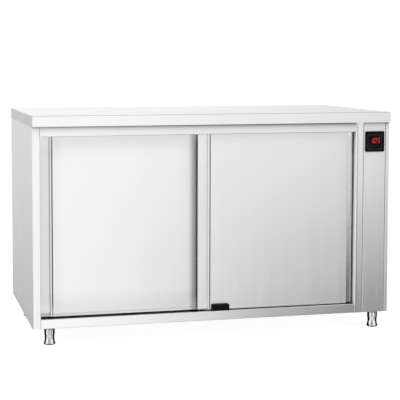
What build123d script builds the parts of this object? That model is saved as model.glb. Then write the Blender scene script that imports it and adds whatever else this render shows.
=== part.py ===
from build123d import *
import math
import os

# Plate warmer cabinet with two sliding doors. Millimetres, +Z up, +X to the right
# seen from the front, -Y towards the user. Origin: centre of the footprint, on the floor.

# Overall size
WIDTH = 1400.0
DEPTH = 700.0
HEIGHT = 850.0
LEG_HEIGHT = 64.0
WORKTOP_EDGE = 40.0
FRONT_OVERHANG = 10.0
BACK_OVERHANG = 2.0
SIDE_OVERHANG = 1.0

# Sheet thicknesses and folds
WORKTOP_SHEET = 1.5
OUTER_SHEET = 1.2
LINER_SHEET = 1.0
OUTER_BEND = 2.2
LINER_BEND = 1.3
WORKTOP_BEND = 3.0
WORKTOP_RETURN = 18.0
FLANGE = 20.0

# Front frame
LEFT_STILE = 30.0
POST_WIDTH = 30.0
CONTROL_BAY = 107.0
CORNER_FLANGE = 15.0
CORNER_RETURN = 12.0
FRAME_RETURN = 20.0
TOP_RAIL = 37.0
TOP_RAIL_LIP = 8.0
BOTTOM_RAIL = 35.0
SILL_LIP = 7.0
SILL_DROP = 9.0
PANEL_GAP = 0.6

# Sliding doors
DOOR_SETBACK = 20.0
DOOR_THICKNESS = 22.0
DOOR_PARTING = 5.0
DOOR_SIDE_GAP = 4.0
DOOR_OVERLAP = 25.0
DOOR_SILL_GAP = 9.0
DOOR_RAIL_COVER = 8.0
GRIP_WIDTH = 37.0
GRIP_DEPTH = 8.0
GRIP_LIP = 7.0
SEAM_WIDTH = 3.0
SEAM_DEPTH = 5.0
CLOSING_STEP = 24.0
GRIP_KEPT_FREE = 43.0
DOOR_ZONE_REAR = 11.0
FIT_GAP = 0.5

# Door hangers, rollers and tracks
HANGER_INSET = 80.0
HANGER_FOOT_LENGTH = 50.0
HANGER_FOOT_DEPTH = 16.0
HANGER_SHEET = 2.0
HANGER_WIDTH = 20.0
HANGER_CORNER = 3.0
HANGER_SCREW_INSET = 5.0
ROLLER_DIAMETER = 16.0
ROLLER_WIDTH = 6.0
ROLLER_CHAMFER = 0.8
AXLE_DIAMETER = 4.0
AXLE_HEAD_DIAMETER = 7.0
AXLE_HEAD = 1.0
RUNNING_FIT = 0.05
ROLLER_GAP = 0.3
TRACK_HEIGHT = 22.0
TRACK_WIDTH = 23.0
TRACK_SLOT = 6.0
TRACK_BEND = 1.5
STOP_LENGTH = 12.0
STOP_CHAMFER = 1.0

# Bottom door guide
GUIDE_BASE = 4.0
GUIDE_TOP_ABOVE_SILL = 23.0
GUIDE_FRONT_LENGTH = 69.0
GUIDE_REAR_LENGTH = 48.0
GUIDE_FRONT_CHEEK = 9.5
GUIDE_REAR_CHEEK = 7.5
GUIDE_CORNER = 6.0
GUIDE_LEFT = -62.0

# Warming chamber
BACK_WALL = 30.0
CEILING_HEIGHT_BELOW_BODY_TOP = 28.0
SHELF_TOP_ABOVE_FLOOR = 353.0
SHELF_EDGE = 25.0
SHELF_SIDE_GAP = 2.0
SHELF_FRONT_GAP = 10.0
ANGLE_LEG = 20.0
INSULATION_GAP = 1.0

# Fan heater, on the chamber's right wall
FAN_Y = 30.0
FAN_ABOVE_FLOOR = 166.0
HEATER_BOX_DEPTH = 72.0
HEATER_BOX_WIDTH = 300.0
HEATER_BOX_HEIGHT = 310.0
IMPELLER_DIAMETER = 150.0
IMPELLER_HUB_DIAMETER = 26.0
IMPELLER_WIDTH = 36.0
IMPELLER_BLADES = 16
IMPELLER_WALL_GAP = 20.0
BLADE_THICKNESS = 1.2
BLADE_CHORD = 24.0
BLADE_ANGLE = 28.0
SHAFT_DIAMETER = 8.0
SHAFT_OPENING = 14.0
MOTOR_DIAMETER = 84.0
MOTOR_LENGTH = 46.0
MOTOR_BOSS_LENGTH = 7.2
MOTOR_PLATE = 104.0
MOTOR_PLATE_THICKNESS = 2.0
MOTOR_PLATE_CORNER = 8.0
ELEMENT_RING_DIAMETER = 186.0
ELEMENT_TUBE = 8.0
ELEMENT_GAP_ANGLE = 24.0
ELEMENT_TAIL = 12.0
INTAKE_HOLE_DIAMETER = 130.0
INTAKE_COVER = 190.0
INTAKE_COVER_DEPTH = 9.0
INTAKE_COVER_CORNER = 12.0
INTAKE_SLOTS = 9
INTAKE_SLOT_WIDTH = 6.0
OUTLET_SLOTS = 7
OUTLET_SLOT_LENGTH = 28.0
OUTLET_SLOT_HEIGHT = 9.0
OUTLET_SLOT_PITCH = 38.0

# Controls and electrics
DISPLAY_SIZE = 78.5
DISPLAY_CORNER = 4.0
DISPLAY_BELOW_BODY_TOP = 75.0
BEZEL_THICKNESS = 3.0
BEZEL_FRAME = 2.5
GLASS_THICKNESS = 1.5
GLASS_CORNER = 3.0
BEZEL_EDGE_RADIUS = 0.8
CONTROLLER_SIZE = 68.0
CONTROLLER_DEPTH = 42.0
CONTROLLER_CORNER = 1.0
FASCIA_RETURN = 12.0
TERMINALS = 6
TERMINAL_PITCH = 15.2
TERMINAL_BLOCK_LENGTH = 96.0
TERMINAL_BLOCK_HEIGHT = 30.0
TERMINAL_BLOCK_DEPTH = 24.0
TERMINAL_STEP = 8.0
TERMINAL_BORE = 7.0
TERMINAL_BORE_DEPTH = 6.0
TERMINALS_ABOVE_HEATER = 60.0
TERMINALS_OFFSET = 60.0
THERMOSTAT_PLATE_LENGTH = 52.0
THERMOSTAT_PLATE_HEIGHT = 40.0
THERMOSTAT_PLATE_THICKNESS = 2.0
THERMOSTAT_CORNER = 5.0
THERMOSTAT_DIAMETER = 36.0
THERMOSTAT_DEPTH = 24.0
THERMOSTAT_STEM_DIAMETER = 8.0
THERMOSTAT_STEM = 10.0
THERMOSTAT_OFFSET = 130.0
VENT_SLOTS = 7
VENT_LENGTH = 70.0
VENT_HEIGHT = 6.0
VENT_FIELD_TOP = 80.0
VENT_FIELD_BOTTOM = 180.0
PROBE_DIAMETER = 6.0
PROBE_TIP_RADIUS = 2.5
PROBE_REACH = 20.0
PROBE_ABOVE_SHELF = 120.0
PROBE_COLLAR_DIAMETER = 15.0
PROBE_COLLAR = 6.0
PROBE_TAIL = 18.0
GLAND_BORE = 9.0
GLAND_BODY = 22.0
GLAND_THREAD = 18.0
GLAND_THREAD_INSIDE = 8.0
GLAND_NUT = 5.0
GLAND_DOME_RADIUS = 3.0
GLAND_DROP = 20.0
GLAND_FROM_RIGHT = 89.0
GLAND_FROM_BACK = 48.0

# Legs
SLEEVE_DIAMETER = 39.0
SLEEVE_LENGTH = 25.0
SLEEVE_WALL = 2.0
SLEEVE_BOTTOM = 6.0
STUD_DIAMETER = 12.0
STUD_ABOVE_FOOT = 21.0
FOOT_WAIST_DIAMETER = 35.5
FOOT_BASE_DIAMETER = 43.0
FOOT_GAP = 0.3
FRONT_LEG_SETBACK = 32.0
REAR_LEG_SETBACK = 530.0
FRONT_LEFT_LEG_INSET = 65.0
REAR_LEFT_LEG_INSET = 49.0
RIGHT_LEG_INSET = 49.0
NUT_PLATE = 50.0
NUT_PLATE_THICKNESS = 4.0
SLEEVE_STUD_ABOVE_PLATE = 4.0
FOOT_BASE_RADIUS = 5.0
FOOT_WAIST_LEVEL = 0.62

# Screws
SCREW_HEAD_DIAMETER = 8.0
SCREW_HEAD = 1.9
SCREW_DIAMETER = 4.0
SCREW_LENGTH = 8.0
SCREW_HOLE_GAP = 0.1
SCREW_HOLE = SCREW_DIAMETER + 2 * SCREW_HOLE_GAP
SCREW_HEAD_RECESS = 9.0
BACK_SCREW_INSET = 36.0
BACK_SCREW_ROWS = 5

# Body planes
BODY_LEFT = -WIDTH / 2 + SIDE_OVERHANG
BODY_RIGHT = WIDTH / 2 - SIDE_OVERHANG
BODY_FRONT = -DEPTH / 2 + FRONT_OVERHANG
BODY_BACK = DEPTH / 2 - BACK_OVERHANG
BODY_BOTTOM = LEG_HEIGHT
BODY_TOP = HEIGHT - WORKTOP_EDGE
BACK_SHEET_FRONT = BODY_BACK - OUTER_SHEET

# Door opening
OPENING_LEFT = BODY_LEFT + LEFT_STILE
POST_RIGHT = BODY_RIGHT - CONTROL_BAY
OPENING_RIGHT = POST_RIGHT - POST_WIDTH
OPENING_BOTTOM = BODY_BOTTOM + BOTTOM_RAIL
OPENING_TOP = BODY_TOP - TOP_RAIL
SILL_FLOOR = OPENING_BOTTOM - SILL_DROP

# Doors: the left one runs behind the right one
DOOR_WIDTH = (OPENING_RIGHT - OPENING_LEFT - 2 * DOOR_SIDE_GAP + DOOR_OVERLAP) / 2
DOOR_BOTTOM = SILL_FLOOR + DOOR_SILL_GAP
DOOR_TOP = OPENING_TOP + DOOR_RAIL_COVER
RIGHT_DOOR_FRONT = BODY_FRONT + DOOR_SETBACK
LEFT_DOOR_FRONT = RIGHT_DOOR_FRONT + DOOR_THICKNESS + DOOR_PARTING
LEFT_DOOR_X = OPENING_LEFT + DOOR_SIDE_GAP
RIGHT_DOOR_X = OPENING_RIGHT - DOOR_SIDE_GAP - DOOR_WIDTH
DOOR_TRAVEL = RIGHT_DOOR_X - LEFT_DOOR_X - GRIP_KEPT_FREE

# Warming chamber
CHAMBER_FRONT = LEFT_DOOR_FRONT + DOOR_THICKNESS + DOOR_ZONE_REAR
CHAMBER_BACK = BODY_BACK - BACK_WALL
CHAMBER_FLOOR = OPENING_BOTTOM
CHAMBER_CEILING = BODY_TOP - CEILING_HEIGHT_BELOW_BODY_TOP
SHELF_TOP = CHAMBER_FLOOR + SHELF_TOP_ABOVE_FLOOR
SHELF_BOTTOM = SHELF_TOP - SHELF_EDGE
PARTITION_RIGHT = OPENING_RIGHT + LINER_SHEET

# Tracks and rollers
TRACK_TOP = BODY_TOP - OUTER_SHEET
TRACK_BOTTOM = TRACK_TOP - TRACK_HEIGHT
ROLLER_AXIS_Z = TRACK_BOTTOM + OUTER_SHEET + ROLLER_GAP + ROLLER_DIAMETER / 2
ROLLER_INNER_Y = HANGER_SHEET / 2 + ROLLER_GAP

# Legs
SLEEVE_BOTTOM_Z = BODY_BOTTOM - SLEEVE_LENGTH
LEG_PLACES = {
    "front_left": (BODY_LEFT + FRONT_LEFT_LEG_INSET, BODY_FRONT + FRONT_LEG_SETBACK),
    "front_right": (BODY_RIGHT - RIGHT_LEG_INSET, BODY_FRONT + FRONT_LEG_SETBACK),
    "rear_left": (BODY_LEFT + REAR_LEFT_LEG_INSET, BODY_FRONT + REAR_LEG_SETBACK),
    "rear_right": (BODY_RIGHT - RIGHT_LEG_INSET, BODY_FRONT + REAR_LEG_SETBACK),
}

FAN_Z = CHAMBER_FLOOR + FAN_ABOVE_FLOOR
PROBE_Z = SHELF_TOP + PROBE_ABOVE_SHELF
GLAND_X = BODY_RIGHT - GLAND_FROM_RIGHT
GLAND_Y = BODY_BACK - GLAND_FROM_BACK
HEATER_BOX_RIGHT = PARTITION_RIGHT + HEATER_BOX_DEPTH
FASCIA_LEFT = POST_RIGHT + PANEL_GAP
FASCIA_RIGHT = BODY_RIGHT - CORNER_FLANGE - PANEL_GAP
DISPLAY_X = (FASCIA_LEFT + FASCIA_RIGHT) / 2
DISPLAY_Z = BODY_TOP - DISPLAY_BELOW_BODY_TOP


# Small builders

def block(x0, x1, y0, y1, z0, z1):
    """A plain block between two corners."""
    centre = Pos((x0 + x1) / 2, (y0 + y1) / 2, (z0 + z1) / 2)
    return centre * Box(x1 - x0, y1 - y0, z1 - z0)


def fold(points, sheet, bend, side):
    """The section of a folded sheet: its visible line, thickened to one side."""
    line = FilletPolyline(*points, radius=bend)
    return make_face(offset(line, amount=sheet, side=side, closed=True))


def along_x(section, x0, x1):
    """Runs a section, drawn in Y and Z, from x0 to x1."""
    return extrude(Plane.YZ.offset(x0) * section, amount=x1 - x0)


def along_z(section, z0, z1):
    """Runs a section, drawn in X and Y, from z0 to z1."""
    return extrude(Plane.XY.offset(z0) * section, amount=z1 - z0)


def rod_x(diameter, x0, x1, y, z):
    """A round bar along X."""
    return Pos((x0 + x1) / 2, y, z) * Rot(0, 90, 0) * Cylinder(diameter / 2, x1 - x0)


def rod_y(diameter, y0, y1, x, z):
    """A round bar along Y."""
    return Pos(x, (y0 + y1) / 2, z) * Rot(90, 0, 0) * Cylinder(diameter / 2, y1 - y0)


def rod_z(diameter, z0, z1, x, y):
    """A round bar along Z."""
    return Pos(x, y, (z0 + z1) / 2) * Cylinder(diameter / 2, z1 - z0)


def spaced(first, last, count):
    """Evenly spaced places, with both ends."""
    return [first + (last - first) * i / (count - 1) for i in range(count)]


def write(shape, node):
    """Writes one node; a list becomes one node of separate solids."""
    if isinstance(shape, list):
        shape = Compound(children=[solid for item in shape for solid in item.solids()])
    export_step(shape, "parts/" + node + ".step")


# Worktop

def make_worktop():
    """A folded tray: flat top, four turned-down edges, returns under the edges."""
    outside = block(-WIDTH / 2, WIDTH / 2, -DEPTH / 2, DEPTH / 2, BODY_TOP, HEIGHT)
    folds = outside.edges().filter_by(Axis.Z) + outside.faces().sort_by(Axis.Z)[-1].edges()
    outside = fillet(folds, WORKTOP_BEND)
    t = WORKTOP_SHEET
    inside = block(
        -WIDTH / 2 + t, WIDTH / 2 - t, -DEPTH / 2 + t, DEPTH / 2 - t, BODY_TOP + t, HEIGHT - t
    )
    inside = fillet(inside.edges().filter_by(Axis.Z), WORKTOP_BEND - t)
    r = WORKTOP_RETURN
    mouth = block(-WIDTH / 2 + r, WIDTH / 2 - r, -DEPTH / 2 + r, DEPTH / 2 - r, BODY_TOP, BODY_TOP + t)
    return outside - inside - mouth


def make_worktop_stiffeners():
    """Three hat channels under the top sheet, side by side from front to back."""
    half_crown = 25.0
    depth = 25.0
    foot = 15.0
    under = HEIGHT - WORKTOP_SHEET
    stiffeners = []
    for y in spaced(-DEPTH / 4, DEPTH / 4, 3):
        hat = fold(
            [
                (y - half_crown - foot, under),
                (y - half_crown, under),
                (y - half_crown, under - depth),
                (y + half_crown, under - depth),
                (y + half_crown, under),
                (y + half_crown + foot, under),
            ],
            OUTER_SHEET,
            OUTER_BEND,
            Side.RIGHT,
        )
        stiffeners.append(along_x(hat, -WIDTH / 2 + 2 * FLANGE, WIDTH / 2 - 2 * FLANGE))
    return stiffeners


# Outer body

def make_left_side_panel():
    """Side sheet with the left stile, its return and the rear flange folded on."""
    section = fold(
        [
            (OPENING_LEFT, BODY_FRONT + FRAME_RETURN),
            (OPENING_LEFT, BODY_FRONT),
            (BODY_LEFT, BODY_FRONT),
            (BODY_LEFT, BACK_SHEET_FRONT),
            (BODY_LEFT + FLANGE, BACK_SHEET_FRONT),
        ],
        OUTER_SHEET,
        OUTER_BEND,
        Side.RIGHT,
    )
    return along_z(section, BODY_BOTTOM, BODY_TOP) - back_screw_holes()


def make_right_side_panel():
    """Side sheet with the narrow front flange, its return and the rear flange."""
    flange_left = BODY_RIGHT - CORNER_FLANGE
    section = fold(
        [
            (flange_left, BODY_FRONT + CORNER_RETURN),
            (flange_left, BODY_FRONT),
            (BODY_RIGHT, BODY_FRONT),
            (BODY_RIGHT, BACK_SHEET_FRONT),
            (BODY_RIGHT - FLANGE, BACK_SHEET_FRONT),
        ],
        OUTER_SHEET,
        OUTER_BEND,
        Side.LEFT,
    )
    return along_z(section, BODY_BOTTOM, BODY_TOP) - back_screw_holes()


def make_door_post():
    """Channel between the door opening and the control bay, open to the rear."""
    section = fold(
        [
            (OPENING_RIGHT, BODY_FRONT + FRAME_RETURN),
            (OPENING_RIGHT, BODY_FRONT),
            (POST_RIGHT, BODY_FRONT),
            (POST_RIGHT, BODY_FRONT + FRAME_RETURN),
        ],
        OUTER_SHEET,
        OUTER_BEND,
        Side.LEFT,
    )
    return along_z(section, BODY_BOTTOM, BODY_TOP)


def make_top_rail():
    """Rail over the doors: lower lip, face, flange that carries the tracks, rear drop."""
    section = fold(
        [
            (BODY_FRONT + TOP_RAIL_LIP, OPENING_TOP),
            (BODY_FRONT, OPENING_TOP),
            (BODY_FRONT, BODY_TOP),
            (CHAMBER_FRONT, BODY_TOP),
            (CHAMBER_FRONT, CHAMBER_CEILING),
        ],
        OUTER_SHEET,
        OUTER_BEND,
        Side.RIGHT,
    )
    return along_x(section, OPENING_LEFT, OPENING_RIGHT)


def make_bottom_rail():
    """Rail under the doors, folded on into the sunk sill and its rear upstand."""
    section = fold(
        [
            (BODY_FRONT + FRAME_RETURN, BODY_BOTTOM),
            (BODY_FRONT, BODY_BOTTOM),
            (BODY_FRONT, OPENING_BOTTOM),
            (BODY_FRONT + SILL_LIP, OPENING_BOTTOM),
            (BODY_FRONT + SILL_LIP, SILL_FLOOR),
            (CHAMBER_FRONT, SILL_FLOOR),
            (CHAMBER_FRONT, OPENING_BOTTOM),
        ],
        OUTER_SHEET,
        OUTER_BEND,
        Side.RIGHT,
    )
    rail = along_x(section, OPENING_LEFT, OPENING_RIGHT)
    for x, y in guide_screw_places():
        rail -= rod_z(SCREW_HOLE, BODY_BOTTOM + OUTER_SHEET, SILL_FLOOR, x, y)
    return rail


def make_base_panel():
    """Bottom sheet with both sides and the rear edge turned up."""
    inner = BODY_RIGHT - OUTER_SHEET
    front = BODY_FRONT + FRAME_RETURN
    back = BACK_SHEET_FRONT - OUTER_BEND
    section = fold(
        [
            (-inner, BODY_BOTTOM + FLANGE),
            (-inner, BODY_BOTTOM),
            (inner, BODY_BOTTOM),
            (inner, BODY_BOTTOM + FLANGE),
        ],
        OUTER_SHEET,
        OUTER_BEND,
        Side.LEFT,
    )
    panel = extrude(Plane.XZ.offset(-back) * section, amount=back - front)
    side_fold = inner - OUTER_SHEET
    panel += block(
        -side_fold, side_fold, back - OUTER_SHEET, back, BODY_BOTTOM, BODY_BOTTOM + FLANGE
    )
    for x, y in LEG_PLACES.values():
        panel -= rod_z(STUD_DIAMETER + 2 * SCREW_HOLE_GAP, 0, BODY_BOTTOM + FLANGE, x, y)
    return panel - rod_z(GLAND_THREAD + 2 * SCREW_HOLE_GAP, 0, BODY_BOTTOM + FLANGE, GLAND_X, GLAND_Y)


def back_screw_places():
    """Screws down both sides of the back panel, into the side panels' rear flanges."""
    z_places = spaced(BODY_BOTTOM + BACK_SCREW_INSET, BODY_TOP - BACK_SCREW_INSET, BACK_SCREW_ROWS)
    x_inset = FLANGE / 2
    return [(x, z) for x in (BODY_LEFT + x_inset, BODY_RIGHT - x_inset) for z in z_places]


def back_screw_holes():
    """One hole for each back panel screw."""
    return [
        rod_y(SCREW_HOLE, BACK_SHEET_FRONT - 2 * SCREW_LENGTH, BODY_BACK, x, z)
        for x, z in back_screw_places()
    ]


def make_back_panel():
    """Flat rear sheet, with cooling slots behind the control bay."""
    panel = block(BODY_LEFT, BODY_RIGHT, BACK_SHEET_FRONT, BODY_BACK, BODY_BOTTOM, BODY_TOP)
    slot_x = (PARTITION_RIGHT + BODY_RIGHT - FLANGE) / 2
    for z in spaced(BODY_TOP - VENT_FIELD_BOTTOM, BODY_TOP - VENT_FIELD_TOP, VENT_SLOTS):
        slot = Plane.XZ * Pos(slot_x, z) * SlotOverall(VENT_LENGTH, VENT_HEIGHT)
        panel -= extrude(slot, amount=DEPTH, both=True)
    return panel - back_screw_holes()


def make_back_screws():
    """Pan head screws that hold the back panel."""
    screws = []
    for x, z in back_screw_places():
        shank = rod_y(SCREW_DIAMETER, BODY_BACK - SCREW_LENGTH, BODY_BACK, x, z)
        head = rod_y(SCREW_HEAD_DIAMETER, BODY_BACK, BODY_BACK + SCREW_HEAD, x, z)
        screws.append(shank + head)
    return screws


# Warming chamber

def side_wall_outline():
    """Outline of a chamber side wall: full height at the doors, lower behind them."""
    front = BODY_FRONT + FRAME_RETURN
    return make_face(
        Polyline(
            (front, SILL_FLOOR - SILL_DROP),
            (CHAMBER_BACK, SILL_FLOOR - SILL_DROP),
            (CHAMBER_BACK, CHAMBER_CEILING + LINER_SHEET),
            (CHAMBER_FRONT, CHAMBER_CEILING + LINER_SHEET),
            (CHAMBER_FRONT, TRACK_TOP),
            (front, TRACK_TOP),
            close=True,
        )
    )


def make_chamber_left_wall():
    return along_x(side_wall_outline(), OPENING_LEFT - LINER_SHEET, OPENING_LEFT)


def outlet_slots():
    """Two rows of air outlet slots, above and below the intake."""
    span = (OUTLET_SLOTS - 1) * OUTLET_SLOT_PITCH / 2
    rise = HEATER_BOX_HEIGHT / 2 - 2 * OUTLET_SLOT_HEIGHT
    slots = Sketch()
    for z in (FAN_Z - rise, FAN_Z + rise):
        for y in spaced(FAN_Y - span, FAN_Y + span, OUTLET_SLOTS):
            slots += Pos(y, z) * SlotOverall(OUTLET_SLOT_LENGTH, OUTLET_SLOT_HEIGHT)
    return slots


def make_chamber_right_wall():
    """Partition to the control bay, with the air intake, air outlets and probe hole."""
    outline = side_wall_outline() - outlet_slots()
    outline -= Pos(FAN_Y, FAN_Z) * Circle(INTAKE_HOLE_DIAMETER / 2)
    outline -= Pos(FAN_Y, PROBE_Z) * Circle(PROBE_DIAMETER / 2 + SCREW_HOLE_GAP)
    return along_x(outline, OPENING_RIGHT, PARTITION_RIGHT)


def make_chamber_back_wall():
    return block(
        OPENING_LEFT - LINER_SHEET,
        PARTITION_RIGHT,
        CHAMBER_BACK,
        CHAMBER_BACK + LINER_SHEET,
        CHAMBER_FLOOR - LINER_SHEET,
        CHAMBER_CEILING + LINER_SHEET,
    )


def make_chamber_floor():
    return block(
        OPENING_LEFT,
        OPENING_RIGHT,
        CHAMBER_FRONT + OUTER_SHEET,
        CHAMBER_BACK,
        CHAMBER_FLOOR - LINER_SHEET,
        CHAMBER_FLOOR,
    )


def make_chamber_ceiling():
    return block(
        OPENING_LEFT,
        OPENING_RIGHT,
        CHAMBER_FRONT,
        CHAMBER_BACK,
        CHAMBER_CEILING,
        CHAMBER_CEILING + LINER_SHEET,
    )


def make_left_insulation():
    return block(
        BODY_LEFT + OUTER_SHEET,
        OPENING_LEFT - OUTER_SHEET,
        BODY_FRONT + OUTER_BEND,
        BACK_SHEET_FRONT - OUTER_BEND,
        BODY_BOTTOM + FLANGE,
        BODY_TOP - INSULATION_GAP,
    ) - back_screw_holes()


def make_rear_insulation():
    return block(
        BODY_LEFT + FLANGE + INSULATION_GAP,
        PARTITION_RIGHT,
        CHAMBER_BACK + LINER_SHEET,
        BACK_SHEET_FRONT,
        BODY_BOTTOM + FLANGE,
        CHAMBER_CEILING,
    )


def make_ceiling_insulation():
    return block(
        OPENING_LEFT,
        OPENING_RIGHT,
        CHAMBER_FRONT,
        CHAMBER_BACK,
        CHAMBER_CEILING + LINER_SHEET,
        BODY_TOP - INSULATION_GAP,
    )


def make_floor_insulation():
    """Slab under the chamber floor, cut out round the rear left nut plate."""
    slab = block(
        OPENING_LEFT,
        OPENING_RIGHT,
        CHAMBER_FRONT + OUTER_SHEET,
        CHAMBER_BACK,
        BODY_BOTTOM + OUTER_SHEET,
        CHAMBER_FLOOR - LINER_SHEET,
    )
    half = NUT_PLATE / 2 + INSULATION_GAP
    x, y = LEG_PLACES["rear_left"]
    return slab - block(x - half, x + half, y - half, y + half, BODY_BOTTOM, CHAMBER_FLOOR)


def make_shelf():
    """Loose shelf with all four edges turned down."""
    x0 = OPENING_LEFT + SHELF_SIDE_GAP
    x1 = OPENING_RIGHT - SHELF_SIDE_GAP
    y0 = CHAMBER_FRONT + SHELF_FRONT_GAP
    y1 = CHAMBER_BACK - SHELF_SIDE_GAP
    t = LINER_SHEET
    tray = block(x0, x1, y0, y1, SHELF_BOTTOM, SHELF_TOP)
    tray = fillet(tray.edges().filter_by(Axis.Z) + tray.faces().sort_by(Axis.Z)[-1].edges(), 2 * t)
    hollow = block(x0 + t, x1 - t, y0 + t, y1 - t, SHELF_BOTTOM, SHELF_TOP - t)
    return tray - fillet(hollow.edges().filter_by(Axis.Z), t)


def make_shelf_supports():
    """Angles on the two side walls and on the back wall, under the shelf's edges."""
    y0 = CHAMBER_FRONT + 2 * SHELF_FRONT_GAP
    y1 = CHAMBER_BACK - ANGLE_LEG
    supports = []
    for wall, inward in ((OPENING_LEFT, 1), (OPENING_RIGHT, -1)):
        section = fold(
            [
                (wall, SHELF_BOTTOM - ANGLE_LEG),
                (wall, SHELF_BOTTOM),
                (wall + inward * ANGLE_LEG, SHELF_BOTTOM),
            ],
            OUTER_SHEET,
            OUTER_BEND,
            Side.RIGHT if inward > 0 else Side.LEFT,
        )
        supports.append(extrude(Plane.XZ.offset(-y1) * section, amount=y1 - y0))
    section = fold(
        [
            (CHAMBER_BACK, SHELF_BOTTOM - ANGLE_LEG),
            (CHAMBER_BACK, SHELF_BOTTOM),
            (CHAMBER_BACK - ANGLE_LEG, SHELF_BOTTOM),
        ],
        OUTER_SHEET,
        OUTER_BEND,
        Side.LEFT,
    )
    supports.append(along_x(section, OPENING_LEFT + 2 * ANGLE_LEG, OPENING_RIGHT - 2 * ANGLE_LEG))
    return supports


# Sliding doors

def make_door_outer_skin(x, front):
    """One folded sheet: grip recess, lip, seam, panel and stepped closing edge."""
    rear = front + DOOR_THICKNESS - LINER_SHEET
    lip = x + GRIP_WIDTH
    seam = lip + GRIP_LIP
    panel = seam + SEAM_WIDTH
    step = x + DOOR_WIDTH - CLOSING_STEP
    section = fold(
        [
            (x, rear),
            (x, front + GRIP_DEPTH),
            (lip, front + GRIP_DEPTH),
            (lip, front),
            (seam, front),
            (seam, front + SEAM_DEPTH),
            (panel, front + SEAM_DEPTH),
            (panel, front),
            (step, front),
            (step, front + GRIP_DEPTH),
            (x + DOOR_WIDTH, front + GRIP_DEPTH),
            (x + DOOR_WIDTH, rear),
        ],
        LINER_SHEET,
        LINER_BEND,
        Side.LEFT,
    )
    return along_z(section, DOOR_BOTTOM, DOOR_TOP)


def door_pan_ends(x):
    """Left and right ends of the space behind the door's flat panel."""
    left = x + GRIP_WIDTH + GRIP_LIP + SEAM_WIDTH + LINER_BEND
    right = x + DOOR_WIDTH - CLOSING_STEP - LINER_BEND
    return left, right


def make_door_inner_skin(x, front):
    """Rear sheet with the top and bottom flanges that close the door."""
    middle = front + DOOR_THICKNESS / 2
    rear = front + DOOR_THICKNESS
    left, right = door_pan_ends(x)
    sheet = block(x, x + DOOR_WIDTH, rear - LINER_SHEET, rear, DOOR_BOTTOM, DOOR_TOP)
    for z in (DOOR_BOTTOM, DOOR_TOP - LINER_SHEET):
        sheet += block(left, right, front + LINER_SHEET, rear - LINER_SHEET, z, z + LINER_SHEET)
    for hanger_x in hanger_places(x):
        for screw_x in hanger_screw_places(hanger_x):
            sheet -= rod_z(SCREW_HOLE, DOOR_TOP - SCREW_LENGTH, DOOR_TOP, screw_x, middle)
    return sheet


def make_door_insulation(x, front):
    """Slab inside the door, pocketed under the hanger screws."""
    left, right = door_pan_ends(x)
    slab = block(
        left + INSULATION_GAP,
        right - INSULATION_GAP,
        front + LINER_SHEET,
        front + DOOR_THICKNESS - LINER_SHEET,
        DOOR_BOTTOM + LINER_SHEET,
        DOOR_TOP - LINER_SHEET,
    )
    middle = front + DOOR_THICKNESS / 2
    for hanger_x in hanger_places(x):
        for screw_x in hanger_screw_places(hanger_x):
            slab -= rod_z(2 * SCREW_DIAMETER, DOOR_TOP - 2 * SCREW_LENGTH, DOOR_TOP, screw_x, middle)
    return slab


def hanger_places(x):
    """Middle of the left and the right hanger of a door."""
    return x + HANGER_INSET, x + DOOR_WIDTH - HANGER_INSET


def hanger_screw_places(hanger_x):
    offset_x = HANGER_FOOT_LENGTH / 2 - HANGER_SCREW_INSET
    return hanger_x - offset_x, hanger_x + offset_x


def make_hanger(hanger_x, front):
    """Bracket on the door's top: screwed foot, and an upright that holds the axle."""
    middle = front + DOOR_THICKNESS / 2
    half_foot = HANGER_FOOT_LENGTH / 2
    half_depth = HANGER_FOOT_DEPTH / 2
    foot = block(
        hanger_x - half_foot,
        hanger_x + half_foot,
        middle - half_depth,
        middle + half_depth,
        DOOR_TOP,
        DOOR_TOP + HANGER_SHEET,
    )
    foot = fillet(foot.edges().filter_by(Axis.Z), HANGER_CORNER)
    top = ROLLER_AXIS_Z + AXLE_DIAMETER
    outline = make_face(
        Polyline(
            (hanger_x - HANGER_WIDTH / 2, DOOR_TOP + HANGER_SHEET),
            (hanger_x + HANGER_WIDTH / 2, DOOR_TOP + HANGER_SHEET),
            (hanger_x + AXLE_DIAMETER, top),
            (hanger_x - AXLE_DIAMETER, top),
            close=True,
        )
    )
    upright = extrude(Plane.XZ.offset(-middle) * outline, amount=HANGER_SHEET / 2, both=True)
    hanger = foot + upright
    axle_hole = AXLE_DIAMETER + 2 * RUNNING_FIT
    hanger -= rod_y(axle_hole, middle - HANGER_SHEET, middle + HANGER_SHEET, hanger_x, ROLLER_AXIS_Z)
    for screw_x in hanger_screw_places(hanger_x):
        hanger -= rod_z(SCREW_HOLE, DOOR_TOP, DOOR_TOP + HANGER_SHEET, screw_x, middle)
    return hanger


def make_hanger_screws(x, front):
    """Two screws down through each hanger's foot into the door's top flange."""
    middle = front + DOOR_THICKNESS / 2
    seat = DOOR_TOP + HANGER_SHEET
    screws = []
    for hanger_x in hanger_places(x):
        for screw_x in hanger_screw_places(hanger_x):
            shank = rod_z(SCREW_DIAMETER, seat - SCREW_LENGTH, seat, screw_x, middle)
            head = rod_z(SCREW_HEAD_DIAMETER, seat, seat + SCREW_HEAD, screw_x, middle)
            screws.append(shank + head)
    return screws


def make_axles(x, front):
    """A headed pin through each hanger, carrying one roller on either side."""
    middle = front + DOOR_THICKNESS / 2
    reach = ROLLER_INNER_Y + ROLLER_WIDTH + ROLLER_GAP
    axles = []
    for hanger_x in hanger_places(x):
        axle = rod_y(AXLE_DIAMETER, middle - reach, middle + reach, hanger_x, ROLLER_AXIS_Z)
        for y0 in (middle - reach - AXLE_HEAD, middle + reach):
            axle += rod_y(AXLE_HEAD_DIAMETER, y0, y0 + AXLE_HEAD, hanger_x, ROLLER_AXIS_Z)
        axles.append(axle)
    return axles


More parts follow.
